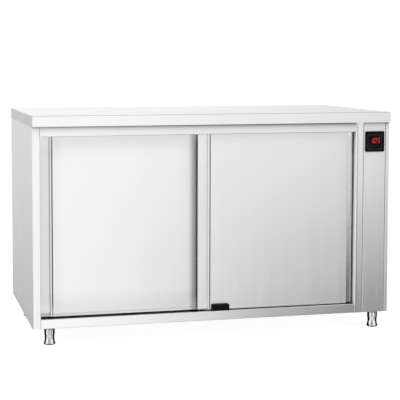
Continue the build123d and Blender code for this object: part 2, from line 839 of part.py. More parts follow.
def make_rollers(hanger_x, front):
    """The two rollers on one axle, with rounded treads."""
    middle = front + DOOR_THICKNESS / 2
    rollers = []
    for side in (-1, 1):
        y = middle + side * (ROLLER_INNER_Y + ROLLER_WIDTH / 2)
        tread = Rot(90, 0, 0) * Cylinder(ROLLER_DIAMETER / 2, ROLLER_WIDTH)
        tread = chamfer(tread.edges().filter_by(GeomType.CIRCLE), ROLLER_CHAMFER)
        tread -= Rot(90, 0, 0) * Cylinder(AXLE_DIAMETER / 2 + RUNNING_FIT, ROLLER_WIDTH)
        rollers.append(Pos(hanger_x, y, ROLLER_AXIS_Z) * tread)
    return rollers


def make_door_track(front):
    """C-shaped track; the rollers run on its two lower lips."""
    middle = front + DOOR_THICKNESS / 2
    half = TRACK_WIDTH / 2
    slot = TRACK_SLOT / 2
    section = fold(
        [
            (middle - slot, TRACK_BOTTOM),
            (middle - half, TRACK_BOTTOM),
            (middle - half, TRACK_TOP),
            (middle + half, TRACK_TOP),
            (middle + half, TRACK_BOTTOM),
            (middle + slot, TRACK_BOTTOM),
        ],
        OUTER_SHEET,
        TRACK_BEND,
        Side.RIGHT,
    )
    return along_x(section, OPENING_LEFT, OPENING_RIGHT)


def make_track_stops():
    """Rubber blocks in the tracks that stop each door at both ends of its travel."""
    half = TRACK_WIDTH / 2 - OUTER_SHEET
    reach = AXLE_DIAMETER + FIT_GAP + ROLLER_DIAMETER / 2
    stops = []
    doors = (
        (LEFT_DOOR_X, LEFT_DOOR_FRONT, 0, DOOR_TRAVEL),
        (RIGHT_DOOR_X, RIGHT_DOOR_FRONT, -DOOR_TRAVEL, 0),
    )
    for x, front, lowest, highest in doors:
        middle = front + DOOR_THICKNESS / 2
        left_hanger, right_hanger = hanger_places(x)
        left_face = left_hanger + lowest - reach
        right_face = right_hanger + highest + reach
        for x0 in (left_face - STOP_LENGTH, right_face):
            stop = block(
                x0,
                x0 + STOP_LENGTH,
                middle - half,
                middle + half,
                TRACK_BOTTOM + OUTER_SHEET,
                TRACK_TOP - OUTER_SHEET,
            )
            stops.append(chamfer(stop.edges().filter_by(Axis.X), STOP_CHAMFER))
    return stops


def guide_screw_places():
    """Screws through the guide's base, clear of its cheeks."""
    return [
        (GUIDE_LEFT + GUIDE_REAR_LENGTH / 4, RIGHT_DOOR_FRONT + DOOR_THICKNESS / 2),
        (GUIDE_LEFT + GUIDE_REAR_LENGTH + GUIDE_FRONT_LENGTH / 2, LEFT_DOOR_FRONT + DOOR_THICKNESS / 2),
    ]


def make_door_guide():
    """Moulded block on the sill: one channel for each door's lower edge."""
    middle = GUIDE_LEFT + GUIDE_REAR_LENGTH
    right = middle + GUIDE_FRONT_LENGTH
    top = OPENING_BOTTOM + GUIDE_TOP_ABOVE_SILL
    front = RIGHT_DOOR_FRONT - FIT_GAP
    parting_front = RIGHT_DOOR_FRONT + DOOR_THICKNESS + FIT_GAP
    parting_rear = LEFT_DOOR_FRONT - FIT_GAP
    rear = LEFT_DOOR_FRONT + DOOR_THICKNESS + FIT_GAP
    cheeks = (
        (middle, right, front - GUIDE_FRONT_CHEEK, front),
        (GUIDE_LEFT, right, parting_front, parting_rear),
        (GUIDE_LEFT, middle, rear, rear + GUIDE_REAR_CHEEK),
    )
    base_top = SILL_FLOOR + GUIDE_BASE
    guide = block(
        GUIDE_LEFT, right, front - GUIDE_FRONT_CHEEK, rear + GUIDE_REAR_CHEEK, SILL_FLOOR, base_top
    )
    for x0, x1, y0, y1 in cheeks:
        cheek = block(x0, x1, y0, y1, base_top, top)
        upper = cheek.faces().sort_by(Axis.Z)[-1].edges().filter_by(Axis.Y)
        guide += fillet(upper, GUIDE_CORNER)
    for x, y in guide_screw_places():
        guide -= rod_z(SCREW_HOLE, SILL_FLOOR, base_top, x, y)
        guide -= rod_z(SCREW_HEAD_RECESS, base_top - SCREW_HEAD, base_top, x, y)
    return guide


def make_guide_screws():
    """Screws sunk into the guide's base."""
    seat = SILL_FLOOR + GUIDE_BASE - SCREW_HEAD
    screws = []
    for x, y in guide_screw_places():
        shank = rod_z(SCREW_DIAMETER, seat - SCREW_LENGTH, seat, x, y)
        screws.append(shank + rod_z(SCREW_HEAD_DIAMETER, seat, seat + SCREW_HEAD, x, y))
    return screws


# Fan heater

def make_heater_box():
    """Air box on the control bay side of the partition, open to the chamber."""
    y0 = FAN_Y - HEATER_BOX_WIDTH / 2
    y1 = FAN_Y + HEATER_BOX_WIDTH / 2
    z0 = FAN_Z - HEATER_BOX_HEIGHT / 2
    z1 = FAN_Z + HEATER_BOX_HEIGHT / 2
    t = LINER_SHEET
    box = block(PARTITION_RIGHT, HEATER_BOX_RIGHT, y0, y1, z0, z1)
    corners = box.edges().filter_by(Axis.X) + box.faces().sort_by(Axis.X)[-1].edges()
    box = fillet(corners, 3 * t)
    hollow = block(PARTITION_RIGHT, HEATER_BOX_RIGHT - t, y0 + t, y1 - t, z0 + t, z1 - t)
    box -= fillet(hollow.edges().filter_by(Axis.X), 2 * t)
    box -= rod_x(SHAFT_OPENING, PARTITION_RIGHT, HEATER_BOX_RIGHT, FAN_Y, FAN_Z)
    for y, z in element_tail_places():
        box -= rod_x(ELEMENT_TUBE + 2 * RUNNING_FIT, PARTITION_RIGHT, HEATER_BOX_RIGHT, y, z)
    return box


def element_tail_places():
    """Where the two ends of the heating element pass through the air box."""
    half_gap = math.radians(ELEMENT_GAP_ANGLE / 2)
    radius = ELEMENT_RING_DIAMETER / 2
    return [
        (FAN_Y + side * radius * math.sin(half_gap), FAN_Z + radius * math.cos(half_gap))
        for side in (-1, 1)
    ]


def make_heating_element():
    """Ring of tube round the impeller, its two ends turned out through the air box."""
    plane_x = PARTITION_RIGHT + HEATER_BOX_DEPTH / 2
    ring_plane = Plane(origin=(plane_x, FAN_Y, FAN_Z), x_dir=(0, 1, 0), z_dir=(1, 0, 0))
    ring = Torus(ELEMENT_RING_DIAMETER / 2, ELEMENT_TUBE / 2, major_angle=360 - ELEMENT_GAP_ANGLE)
    element = Location(ring_plane) * Rot(0, 0, 90 + ELEMENT_GAP_ANGLE / 2) * ring
    for y, z in element_tail_places():
        element += Pos(plane_x, y, z) * Sphere(ELEMENT_TUBE / 2)
        element += rod_x(ELEMENT_TUBE, plane_x, HEATER_BOX_RIGHT + ELEMENT_TAIL, y, z)
    return element


def make_fan_impeller():
    """Radial impeller: back plate, hub and swept blades, turning about X."""
    left = PARTITION_RIGHT + IMPELLER_WALL_GAP
    right = left + IMPELLER_WIDTH
    wheel = rod_x(IMPELLER_DIAMETER, right - BLADE_THICKNESS, right, FAN_Y, FAN_Z)
    wheel += rod_x(IMPELLER_HUB_DIAMETER, left + IMPELLER_WIDTH / 3, right, FAN_Y, FAN_Z)
    blade = block(
        left,
        right - BLADE_THICKNESS,
        -BLADE_THICKNESS / 2,
        BLADE_THICKNESS / 2,
        -BLADE_CHORD / 2,
        BLADE_CHORD / 2,
    )
    blade_middle = IMPELLER_DIAMETER / 2 - BLADE_CHORD / 2 - 2 * BLADE_THICKNESS
    for i in range(IMPELLER_BLADES):
        turn = Rot(360 * i / IMPELLER_BLADES, 0, 0)
        swept = Pos(0, 0, blade_middle) * Rot(BLADE_ANGLE, 0, 0) * blade
        wheel += Pos(0, FAN_Y, FAN_Z) * turn * swept
    return wheel - rod_x(SHAFT_DIAMETER, left, right, FAN_Y, FAN_Z)


def make_fan_shaft():
    """Motor shaft: its left end carries the impeller, the rest turns in the motor."""
    left = PARTITION_RIGHT + IMPELLER_WALL_GAP + IMPELLER_WIDTH / 3
    return rod_x(SHAFT_DIAMETER, left, HEATER_BOX_RIGHT + MOTOR_LENGTH / 2, FAN_Y, FAN_Z)


def make_fan_motor():
    """Mounting plate, body and rear boss, bored for the shaft."""
    x0 = HEATER_BOX_RIGHT
    x1 = x0 + MOTOR_PLATE_THICKNESS
    x2 = x0 + MOTOR_LENGTH - MOTOR_BOSS_LENGTH
    x3 = x0 + MOTOR_LENGTH
    half = MOTOR_PLATE / 2
    plate = block(x0, x1, FAN_Y - half, FAN_Y + half, FAN_Z - half, FAN_Z + half)
    plate = fillet(plate.edges().filter_by(Axis.X), MOTOR_PLATE_CORNER)
    body = rod_x(MOTOR_DIAMETER, x1, x2, FAN_Y, FAN_Z)
    boss = rod_x(MOTOR_DIAMETER / 2, x2, x3, FAN_Y, FAN_Z)
    bore_end = x0 + MOTOR_LENGTH / 2 + FIT_GAP
    return plate + body + boss - rod_x(SHAFT_DIAMETER + 2 * RUNNING_FIT, x0, bore_end, FAN_Y, FAN_Z)


def make_air_intake_cover():
    """Slotted dish over the intake, on the chamber side of the partition."""
    half = INTAKE_COVER / 2
    t = LINER_SHEET
    inner = half - t
    x0 = OPENING_RIGHT - INTAKE_COVER_DEPTH
    dish = block(x0, OPENING_RIGHT, FAN_Y - half, FAN_Y + half, FAN_Z - half, FAN_Z + half)
    dish = fillet(dish.edges().filter_by(Axis.X), INTAKE_COVER_CORNER)
    dish = fillet(dish.faces().sort_by(Axis.X)[0].edges(), 2 * t)
    hollow = block(
        x0 + t, OPENING_RIGHT, FAN_Y - inner, FAN_Y + inner, FAN_Z - inner, FAN_Z + inner
    )
    dish -= fillet(hollow.edges().filter_by(Axis.X), INTAKE_COVER_CORNER - t)
    reach = INTAKE_HOLE_DIAMETER / 2 - INTAKE_SLOT_WIDTH / 2
    for y in spaced(-reach, reach, INTAKE_SLOTS):
        length = 2 * math.sqrt((reach + INTAKE_SLOT_WIDTH) ** 2 - y**2)
        slot = Pos(FAN_Y + y, FAN_Z) * Rot(0, 0, 90) * SlotOverall(length, INTAKE_SLOT_WIDTH)
        dish -= extrude(Plane.YZ.offset(x0) * slot, amount=t)
    return dish


# Controls and electrics

def display_square(size, corner, y_front, depth):
    """A rounded square slab about the display's middle, from its front face back."""
    outline = Pos(DISPLAY_X, DISPLAY_Z) * RectangleRounded(size, size, corner)
    return extrude(Plane.XZ.offset(-y_front) * outline, amount=-depth)


def make_control_fascia():
    """Removable cover of the control bay, with its side returns and lower flange."""
    section = fold(
        [
            (FASCIA_LEFT, BODY_FRONT + FASCIA_RETURN),
            (FASCIA_LEFT, BODY_FRONT),
            (FASCIA_RIGHT, BODY_FRONT),
            (FASCIA_RIGHT, BODY_FRONT + FASCIA_RETURN),
        ],
        OUTER_SHEET,
        OUTER_BEND,
        Side.LEFT,
    )
    fascia = along_z(section, BODY_BOTTOM, BODY_TOP)
    fascia += block(
        FASCIA_LEFT + OUTER_SHEET,
        FASCIA_RIGHT - OUTER_SHEET,
        BODY_FRONT + OUTER_SHEET,
        BODY_FRONT + FRAME_RETURN,
        BODY_BOTTOM,
        BODY_BOTTOM + OUTER_SHEET,
    )
    return fascia - display_square(CONTROLLER_SIZE, CONTROLLER_CORNER, BODY_FRONT, OUTER_SHEET)


def make_controller_housing():
    """Controller body behind the fascia, passed through the fascia's window."""
    return display_square(CONTROLLER_SIZE, CONTROLLER_CORNER, BODY_FRONT, CONTROLLER_DEPTH)


def make_display_bezel():
    """Rounded square frame on the fascia, with a shallow seat for the glass."""
    front = BODY_FRONT - BEZEL_THICKNESS
    bezel = display_square(DISPLAY_SIZE, DISPLAY_CORNER, front, BEZEL_THICKNESS)
    bezel = fillet(bezel.faces().sort_by(Axis.Y)[0].edges(), BEZEL_EDGE_RADIUS)
    return bezel - make_display_glass()


def make_display_glass():
    """Touch glass, flush with the bezel."""
    size = DISPLAY_SIZE - 2 * BEZEL_FRAME
    return display_square(size, GLASS_CORNER, BODY_FRONT - BEZEL_THICKNESS, GLASS_THICKNESS)


def make_terminal_block():
    """Row of clamps on the partition, for the mains and the internal wiring."""
    x0 = PARTITION_RIGHT
    x1 = x0 + TERMINAL_BLOCK_DEPTH
    step = x1 - TERMINAL_STEP
    y0 = FAN_Y - TERMINALS_OFFSET
    y1 = y0 + TERMINAL_BLOCK_LENGTH
    z0 = FAN_Z + HEATER_BOX_HEIGHT / 2 + TERMINALS_ABOVE_HEATER
    z1 = z0 + TERMINAL_BLOCK_HEIGHT
    body = block(x0, x1, y0, y1, z0, z1)
    body -= block(step, x1, y0, y1, z0, z0 + TERMINAL_STEP)
    body -= block(step, x1, y0, y1, z1 - TERMINAL_STEP, z1)
    half_row = TERMINAL_PITCH * (TERMINALS - 1) / 2
    middle = (y0 + y1) / 2
    for y in spaced(middle - half_row, middle + half_row, TERMINALS):
        body -= rod_x(TERMINAL_BORE, x1 - TERMINAL_BORE_DEPTH, x1, y, (z0 + z1) / 2)
    return body


def make_safety_thermostat():
    """Overheat cut-out with its bracket and reset stem, on the partition."""
    y = FAN_Y - THERMOSTAT_OFFSET
    z = FAN_Z + HEATER_BOX_HEIGHT / 2 + TERMINALS_ABOVE_HEATER + TERMINAL_BLOCK_HEIGHT / 2
    x1 = PARTITION_RIGHT + THERMOSTAT_PLATE_THICKNESS
    x2 = x1 + THERMOSTAT_DEPTH
    half_y = THERMOSTAT_PLATE_LENGTH / 2
    half_z = THERMOSTAT_PLATE_HEIGHT / 2
    plate = block(PARTITION_RIGHT, x1, y - half_y, y + half_y, z - half_z, z + half_z)
    plate = fillet(plate.edges().filter_by(Axis.X), THERMOSTAT_CORNER)
    body = rod_x(THERMOSTAT_DIAMETER, x1, x2, y, z)
    return plate + body + rod_x(THERMOSTAT_STEM_DIAMETER, x2, x2 + THERMOSTAT_STEM, y, z)


def make_temperature_probe():
    """Sheathed probe through the partition, with its collar on the control bay side."""
    tip = OPENING_RIGHT - PROBE_REACH
    probe = rod_x(PROBE_DIAMETER, tip, PARTITION_RIGHT + PROBE_TAIL, FAN_Y, PROBE_Z)
    probe = fillet(probe.faces().sort_by(Axis.X)[0].edges(), PROBE_TIP_RADIUS)
    collar_end = PARTITION_RIGHT + PROBE_COLLAR
    return probe + rod_x(PROBE_COLLAR_DIAMETER, PARTITION_RIGHT, collar_end, FAN_Y, PROBE_Z)


def make_mains_gland():
    """Cable gland through the base panel: hexagon and dome below, lock nut above."""
    inside = BODY_BOTTOM + OUTER_SHEET
    thread_top = inside + GLAND_THREAD_INSIDE
    hexagon_bottom = BODY_BOTTOM - GLAND_DROP / 2
    below = BODY_BOTTOM - GLAND_DROP
    hexagon = Pos(GLAND_X, GLAND_Y) * RegularPolygon(GLAND_BODY / 2, 6, major_radius=False)
    gland = extrude(Plane.XY.offset(hexagon_bottom) * hexagon, amount=BODY_BOTTOM - hexagon_bottom)
    dome = rod_z(GLAND_THREAD, below, BODY_BOTTOM, GLAND_X, GLAND_Y)
    gland += fillet(dome.faces().sort_by(Axis.Z)[0].edges(), GLAND_DOME_RADIUS)
    gland += rod_z(GLAND_THREAD, BODY_BOTTOM, thread_top, GLAND_X, GLAND_Y)
    gland += extrude(Plane.XY.offset(inside) * hexagon, amount=GLAND_NUT)
    return gland - rod_z(GLAND_BORE, below, thread_top, GLAND_X, GLAND_Y)


# Legs

def make_nut_plates():
    """Square plates inside the base that the leg sleeves screw into."""
    half = NUT_PLATE / 2
    z0 = BODY_BOTTOM + OUTER_SHEET
    plates = []
    for x, y in LEG_PLACES.values():
        plate = block(x - half, x + half, y - half, y + half, z0, z0 + NUT_PLATE_THICKNESS)
        plate -= rod_z(STUD_DIAMETER + 2 * RUNNING_FIT, z0, z0 + NUT_PLATE_THICKNESS, x, y)
        plates.append(plate)
    return plates


def make_leg_sleeve(x, y):
    """Upper part of a leg: hollow, with a stud on top and a threaded floor."""
    outer = SLEEVE_DIAMETER / 2
    bore = STUD_DIAMETER / 2 + RUNNING_FIT
    stud_top = BODY_BOTTOM + OUTER_SHEET + NUT_PLATE_THICKNESS + SLEEVE_STUD_ABOVE_PLATE
    cavity_top = BODY_BOTTOM - SLEEVE_WALL
    floor_top = SLEEVE_BOTTOM_Z + SLEEVE_BOTTOM
    section = make_face(
        Polyline(
            (bore, SLEEVE_BOTTOM_Z),
            (outer, SLEEVE_BOTTOM_Z),
            (outer, BODY_BOTTOM),
            (STUD_DIAMETER / 2, BODY_BOTTOM),
            (STUD_DIAMETER / 2, stud_top),
            (0, stud_top),
            (0, cavity_top),
            (outer - SLEEVE_WALL, cavity_top),
            (outer - SLEEVE_WALL, floor_top),
            (bore, floor_top),
            close=True,
        )
    )
    return Pos(x, y, 0) * revolve(Plane.XZ * section, Axis.Z)


def make_foot(x, y):
    """Lower part of a leg: threaded stud, waisted skirt and rounded base."""
    top = SLEEVE_BOTTOM_Z - FOOT_GAP
    stud_top = top + STUD_ABOVE_FOOT
    stud = STUD_DIAMETER / 2
    outer = SLEEVE_DIAMETER / 2 - FIT_GAP
    waist = (FOOT_WAIST_DIAMETER / 2, FOOT_WAIST_LEVEL * top)
    sole = FOOT_BASE_DIAMETER / 2 - FOOT_BASE_RADIUS
    base_side = (FOOT_BASE_DIAMETER / 2, FOOT_BASE_RADIUS)
    profile = [
        Line((0, 0), (sole, 0)),
        RadiusArc((sole, 0), base_side, -FOOT_BASE_RADIUS),
        ThreePointArc(base_side, waist, (outer, top)),
        Line((outer, top), (stud, top)),
        Line((stud, top), (stud, stud_top)),
        Line((stud, stud_top), (0, stud_top)),
        Line((0, stud_top), (0, 0)),
    ]
    return Pos(x, y, 0) * revolve(Plane.XZ * make_face(profile), Axis.Z)


# Writing the nodes

def write_body():
    write(make_worktop(), "worktop")
    write(make_worktop_stiffeners(), "worktop_stiffeners")
    write(make_left_side_panel(), "left_side_panel")
    write(make_right_side_panel(), "right_side_panel")
    write(make_door_post(), "door_post")
    write(make_top_rail(), "top_rail")
    write(make_bottom_rail(), "bottom_rail")
    write(make_base_panel(), "base_panel")
    write(make_back_panel(), "back_panel")
    write(make_back_screws() + make_guide_screws(), "body_screws")


def write_chamber():
    write(make_chamber_left_wall(), "chamber_left_wall")
    write(make_chamber_right_wall(), "chamber_right_wall")
    write(make_chamber_back_wall(), "chamber_back_wall")
    write(make_chamber_floor(), "chamber_floor")
    write(make_chamber_ceiling(), "chamber_ceiling")
    write(
        [
            make_left_insulation(),
            make_rear_insulation(),
            make_ceiling_insulation(),
            make_floor_insulation(),
        ],
        "cabinet_insulation",
    )
    write(make_shelf(), "shelf")
    write(make_shelf_supports(), "shelf_supports")


def write_door(name, x, front):
    left_hanger, right_hanger = hanger_places(x)
    write(make_door_outer_skin(x, front), name + "_outer_skin")
    write(make_door_inner_skin(x, front), name + "_inner_skin")
    write(make_door_insulation(x, front), name + "_insulation")
    write([make_hanger(left_hanger, front), make_hanger(right_hanger, front)], name + "_hangers")
    write(make_hanger_screws(x, front), name + "_hanger_screws")
    write(make_axles(x, front), name + "_roller_axles")
    write(make_rollers(left_hanger, front), name + "_left_rollers")
    write(make_rollers(right_hanger, front), name + "_right_rollers")


def write_door_hardware():
    write([make_door_track(RIGHT_DOOR_FRONT), make_door_track(LEFT_DOOR_FRONT)], "door_tracks")
    write(make_track_stops(), "track_stops")
    write(make_door_guide(), "bottom_door_guide")


def write_fan_heater():
    write(make_heater_box(), "heater_box")
    write(make_heating_element(), "heating_element")
    write(make_fan_impeller(), "fan_impeller")
    write(make_fan_shaft(), "fan_shaft")
    write(make_fan_motor(), "fan_motor")
    write(make_air_intake_cover(), "air_intake_cover")


def write_controls():
    write(make_control_fascia(), "control_fascia")
    write(make_controller_housing(), "controller_housing")
    write(make_display_bezel(), "display_bezel")
    write(make_display_glass(), "display_glass")
    write(make_terminal_block(), "terminal_block")
    write(make_safety_thermostat(), "safety_thermostat")
    write(make_temperature_probe(), "temperature_probe")
    write(make_mains_gland(), "mains_gland")


def write_legs():
    write(make_nut_plates(), "leg_nut_plates")
    write([make_leg_sleeve(x, y) for x, y in LEG_PLACES.values()], "leg_sleeves")
    for place, (x, y) in LEG_PLACES.items():
        write(make_foot(x, y), place + "_foot")


os.makedirs("parts", exist_ok=True)
write_body()
write_chamber()
write_door("left_door", LEFT_DOOR_X, LEFT_DOOR_FRONT)
write_door("right_door", RIGHT_DOOR_X, RIGHT_DOOR_FRONT)
write_door_hardware()
write_fan_heater()
write_controls()
write_legs()
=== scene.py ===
import math

import bpy
from mathutils import Matrix, Vector


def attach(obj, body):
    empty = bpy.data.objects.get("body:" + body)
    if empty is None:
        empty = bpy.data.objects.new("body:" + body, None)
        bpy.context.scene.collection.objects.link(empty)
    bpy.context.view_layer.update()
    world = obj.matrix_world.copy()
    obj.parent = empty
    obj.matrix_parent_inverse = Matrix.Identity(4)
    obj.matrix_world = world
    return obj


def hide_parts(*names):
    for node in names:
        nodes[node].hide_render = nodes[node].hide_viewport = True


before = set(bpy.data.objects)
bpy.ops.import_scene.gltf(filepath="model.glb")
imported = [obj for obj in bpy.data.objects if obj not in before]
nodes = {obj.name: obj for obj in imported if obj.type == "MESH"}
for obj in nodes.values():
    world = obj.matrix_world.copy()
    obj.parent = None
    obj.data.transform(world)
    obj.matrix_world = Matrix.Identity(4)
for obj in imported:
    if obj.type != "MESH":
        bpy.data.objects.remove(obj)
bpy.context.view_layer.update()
scene = bpy.context.scene
scene.view_settings.view_transform = "Standard"


# Camera. It stands left of the cabinet and a little above the worktop, with a
# long lens and a small lens shift, so that the upright edges stay nearly parallel.
CAMERA_PLACE = (-1.215, -4.590, 1.060)
CAMERA_DIP, CAMERA_TURN = math.radians(4.0), math.radians(-13.37)
LENS, SENSOR_WIDTH = 105.75, 36.0
SHIFT_X, SHIFT_Y = 0.09, -0.15

camera_data = bpy.data.cameras.new("camera")
camera_data.sensor_width = SENSOR_WIDTH
camera_data.lens = LENS
camera_data.shift_x = SHIFT_X
camera_data.shift_y = SHIFT_Y
camera = bpy.data.objects.new("camera", camera_data)
camera.location = CAMERA_PLACE
camera.rotation_euler = (math.radians(90) - CAMERA_DIP, 0, CAMERA_TURN)
scene.collection.objects.link(camera)
scene.camera = camera


# Studio. The cabinet stands in a plain white room. Grey nets hung round it, with a few
# lamp panels between them, are what the satin steel mirrors, so that its folds read.
def add(tree, kind, **values):
    """Adds a shader node; inputs are given by socket name, settings in lower case."""
    node = tree.nodes.new("ShaderNode" + kind)
    for name, value in values.items():
        socket = node.inputs.get(name.replace("_", " "))
        if socket is None:
            setattr(node, name, value)
        elif isinstance(value, bpy.types.NodeSocket):
            tree.links.new(value, socket)
        else:
            socket.default_value = value
    return node


def maths(tree, operation, a, b=0.0, c=0.0, clamp=False):
    """One Math node; its inputs are numbers or sockets."""
    node = tree.nodes.new("ShaderNodeMath")
    node.operation = operation
    node.use_clamp = clamp
    for socket, value in zip(node.inputs, (a, b, c)):
        if isinstance(value, bpy.types.NodeSocket):
            tree.links.new(value, socket)
        else:
            socket.default_value = value
    return node.outputs[0]


def grey(level):
    """An opaque grey."""
    return level, level, level, 1.0


def ramp(tree, value, stops):
    """A grey Color Ramp from (place, level) stops."""
    node = tree.nodes.new("ShaderNodeValToRGB")
    elements = node.color_ramp.elements
    while len(elements) < len(stops):
        elements.new(0.5)
    for element, (place, level) in zip(elements, stops):
        element.position = place
        element.color = grey(level)
    tree.links.new(value, node.inputs["Fac"])
    return node.outputs["Color"]


def blend_colours(tree, amount, a, b):
    """A Mix node on colours; a and b are colours or sockets."""
    node = tree.nodes.new("ShaderNodeMix")
    node.data_type = "RGBA"
    colours = [s for s in node.inputs if s.type == "RGBA"]
    for socket, value in ((node.inputs[0], amount), (colours[0], a), (colours[1], b)):
        if isinstance(value, bpy.types.NodeSocket):
            tree.links.new(value, socket)
        else:
            socket.default_value = value
    return next(s for s in node.outputs if s.type == "RGBA")


def combine(tree, kind, first, second, **values):
    """An Add Shader or Mix Shader node over two shader nodes."""
    node = add(tree, kind, **values)
    tree.links.new(first.outputs[0], node.inputs[-2])
    tree.links.new(second.outputs[0], node.inputs[-1])
    return node


def blank_material(name):
    """A material with an empty node tree."""
    material = bpy.data.materials.new(name)
    material.use_nodes = True
    material.node_tree.nodes.clear()
    return material, material.node_tree


def show(tree, shader):
    """Sends a shader node to the material's output."""
    tree.links.new(shader.outputs[0], add(tree, "OutputMaterial").inputs["Surface"])


room = bpy.data.worlds.new("white_room")
room.use_nodes = True
room.node_tree.nodes["Background"].inputs["Color"].default_value = grey(1.0)
room.node_tree.nodes["Background"].inputs["Strength"].default_value = 1.0
scene.world = room

# Bearing in degrees from straight in front, then how much of the white room is seen
# there. Up to 1 a net thins it, and above 1 a lamp panel adds to it.
UPPER_NETS = [
    (-180, 0.98), (-172, 0.76), (-160, 0.74), (-122, 0.74), (-112, 0.90), (-75, 1.10), (-52, 0.95),
    (-38, 0.84), (-30, 0.72), (-12, 0.74), (-5, 0.92), (0, 1.02), (5, 1.15), (9, 1.20), (12, 1.10),
    (15, 0.92), (18, 1.02), (20, 1.12), (22.5, 1.18), (23.4, 0.80), (25, 0.72), (40, 0.96),
    (60, 0.93), (90, 0.88), (130, 0.84), (150, 0.80), (158, 0.88), (166, 1.02), (176, 1.06),
]
LOWER_NETS = [
    (-180, 0.62), (-166, 0.66), (-160, 0.04), (-90, 0.04), (-80, 0.95), (-60, 0.90), (-38, 0.74),
    (-30, 0.60), (-12, 0.62), (-5, 0.88), (0, 0.96), (5, 1.12), (9, 1.16), (12, 0.96),
    (15, 0.95), (18, 0.38), (21, 0.24), (25, 0.08), (36, 0.08), (43, 0.90), (62, 0.90), (72, 0.10),
    (90, 0.05), (120, 0.05), (127, 0.72), (156, 0.66), (180, 0.62),
]
BRIGHTEST = 1.4
# How the lower nets take over from the upper ones as a ray points lower: slope and start.
NET_FADE = (-7.3, -0.55)
# Height of a ray's direction, then the share of the level that is left there.
CEILING = [(0.0, 1.0), (0.55, 1.0), (0.74, 0.35), (0.92, 0.50), (1.0, 0.85)]
NETS_RADIUS = 45.0


def nets_round(tree, turn, nets):
    """The level of one ring of nets over a whole turn, as a share of BRIGHTEST."""
    return ramp(tree, turn, [(bearing / 360 + 0.5, level / BRIGHTEST) for bearing, level in nets])


bpy.ops.object.select_all(action="DESELECT")
bpy.ops.mesh.primitive_uv_sphere_add(segments=48, ring_count=24, radius=NETS_RADIUS, location=(0, 0, 0))
nets = bpy.context.object
nets.name = "studio_nets"
nets.visible_camera = False
net_material, tree = blank_material("grey_nets_and_lamp_panels")
net_material.cycles.emission_sampling = "NONE"
place = add(tree, "TexCoord").outputs["Object"]
direction = add(tree, "VectorMath", operation="NORMALIZE", Vector=place).outputs[0]
ray = add(tree, "SeparateXYZ", Vector=direction)
bearing = maths(tree, "ARCTAN2", ray.outputs["X"], maths(tree, "MULTIPLY", ray.outputs["Y"], -1))
turn = maths(tree, "MULTIPLY_ADD", bearing, 0.5 / math.pi, 0.5)
fade = maths(tree, "MULTIPLY_ADD", ray.outputs["Z"], *NET_FADE, clamp=True)
upper, lower = nets_round(tree, turn, UPPER_NETS), nets_round(tree, turn, LOWER_NETS)
level = maths(tree, "MULTIPLY", blend_colours(tree, fade, upper, lower), BRIGHTEST)
level = maths(tree, "MULTIPLY", level, ramp(tree, ray.outputs["Z"], CEILING))
lamplight = maths(tree, "MAXIMUM", maths(tree, "SUBTRACT", level, 1.0), 0.0)
net = add(tree, "BsdfTransparent", Color=maths(tree, "MINIMUM", level, 1.0))
panel = add(tree, "Emission", Strength=lamplight)
show(tree, combine(tree, "AddShader", net, panel))
nets.data.materials.append(net_material)

# The floor is a plain pale one, which the camera alone sees as white with a faint shadow.
FLOOR_SIZE, FLOOR_DROP = 60.0, 0.0005
FLOOR_COLOUR, SHADOWED_SHARE, FLOOR_GLOW = 0.8, 0.22, 0.90

bpy.ops.object.select_all(action="DESELECT")
bpy.ops.mesh.primitive_plane_add(size=FLOOR_SIZE, location=(0, 0, -FLOOR_DROP))
floor = bpy.context.object
floor.name = "floor"
floor_material, tree = blank_material("white_floor")
lit = add(tree, "BsdfDiffuse", Color=grey(FLOOR_COLOUR))
shadowed = add(tree, "BsdfDiffuse", Color=grey(SHADOWED_SHARE))
glow = add(tree, "Emission", Color=grey(1.0), Strength=FLOOR_GLOW)
seen = combine(tree, "AddShader", shadowed, glow)
show(tree, combine(tree, "MixShader", lit, seen, Fac=add(tree, "LightPath").outputs["Is Camera Ray"]))
floor.data.materials.append(floor_material)
floor.visible_glossy = False

LAMP_PLACE, LAMP_TARGET = Vector((-0.8, -1.6, 3.2)), Vector((0, 0, 0.8))
LAMP_LENGTH, LAMP_WIDTH, LAMP_WATTS = 3.0, 2.0, 60

lamp_data = bpy.data.lights.new("overhead", "AREA")
lamp_data.shape = "RECTANGLE"
lamp_data.size = LAMP_LENGTH
lamp_data.size_y = LAMP_WIDTH
lamp_data.energy = LAMP_WATTS
lamp = bpy.data.objects.new("overhead", lamp_data)
lamp.location = LAMP_PLACE
lamp.rotation_euler = (LAMP_PLACE - LAMP_TARGET).to_track_quat("Z", "Y").to_euler()
lamp.visible_glossy = False
lamp.visible_camera = False
scene.collection.objects.link(lamp)


# Legs. Four turned and polished stainless tubes are screwed into nut plates under
# the base, and the flared foot on each one's stud turns to level the cabinet.
def node_group(name, inputs, outputs):
    """An empty shader group with these named sockets; gives the group, its input and output nodes."""
    group = bpy.data.node_groups.new(name, "ShaderNodeTree")
    for socket_name, kind, value in inputs:
        socket_type = "NodeSocket" + kind
        socket = group.interface.new_socket(name=socket_name, in_out="INPUT", socket_type=socket_type)
        if value is not None:
            socket.default_value = value
    for socket_name, kind in outputs:
        socket_type = "NodeSocket" + kind
        group.interface.new_socket(name=socket_name, in_out="OUTPUT", socket_type=socket_type)
    return group, group.nodes.new("NodeGroupInput"), group.nodes.new("NodeGroupOutput")


def place_group(tree, group, **values):
    """Puts a group in a material, with its inputs by name."""
    node = tree.nodes.new("ShaderNodeGroup")
    node.node_tree = group
    for name, value in values.items():
        socket = node.inputs[name.replace("_", " ")]
        if isinstance(value, bpy.types.NodeSocket):
            tree.links.new(value, socket)
        else:
            socket.default_value = value
    return node


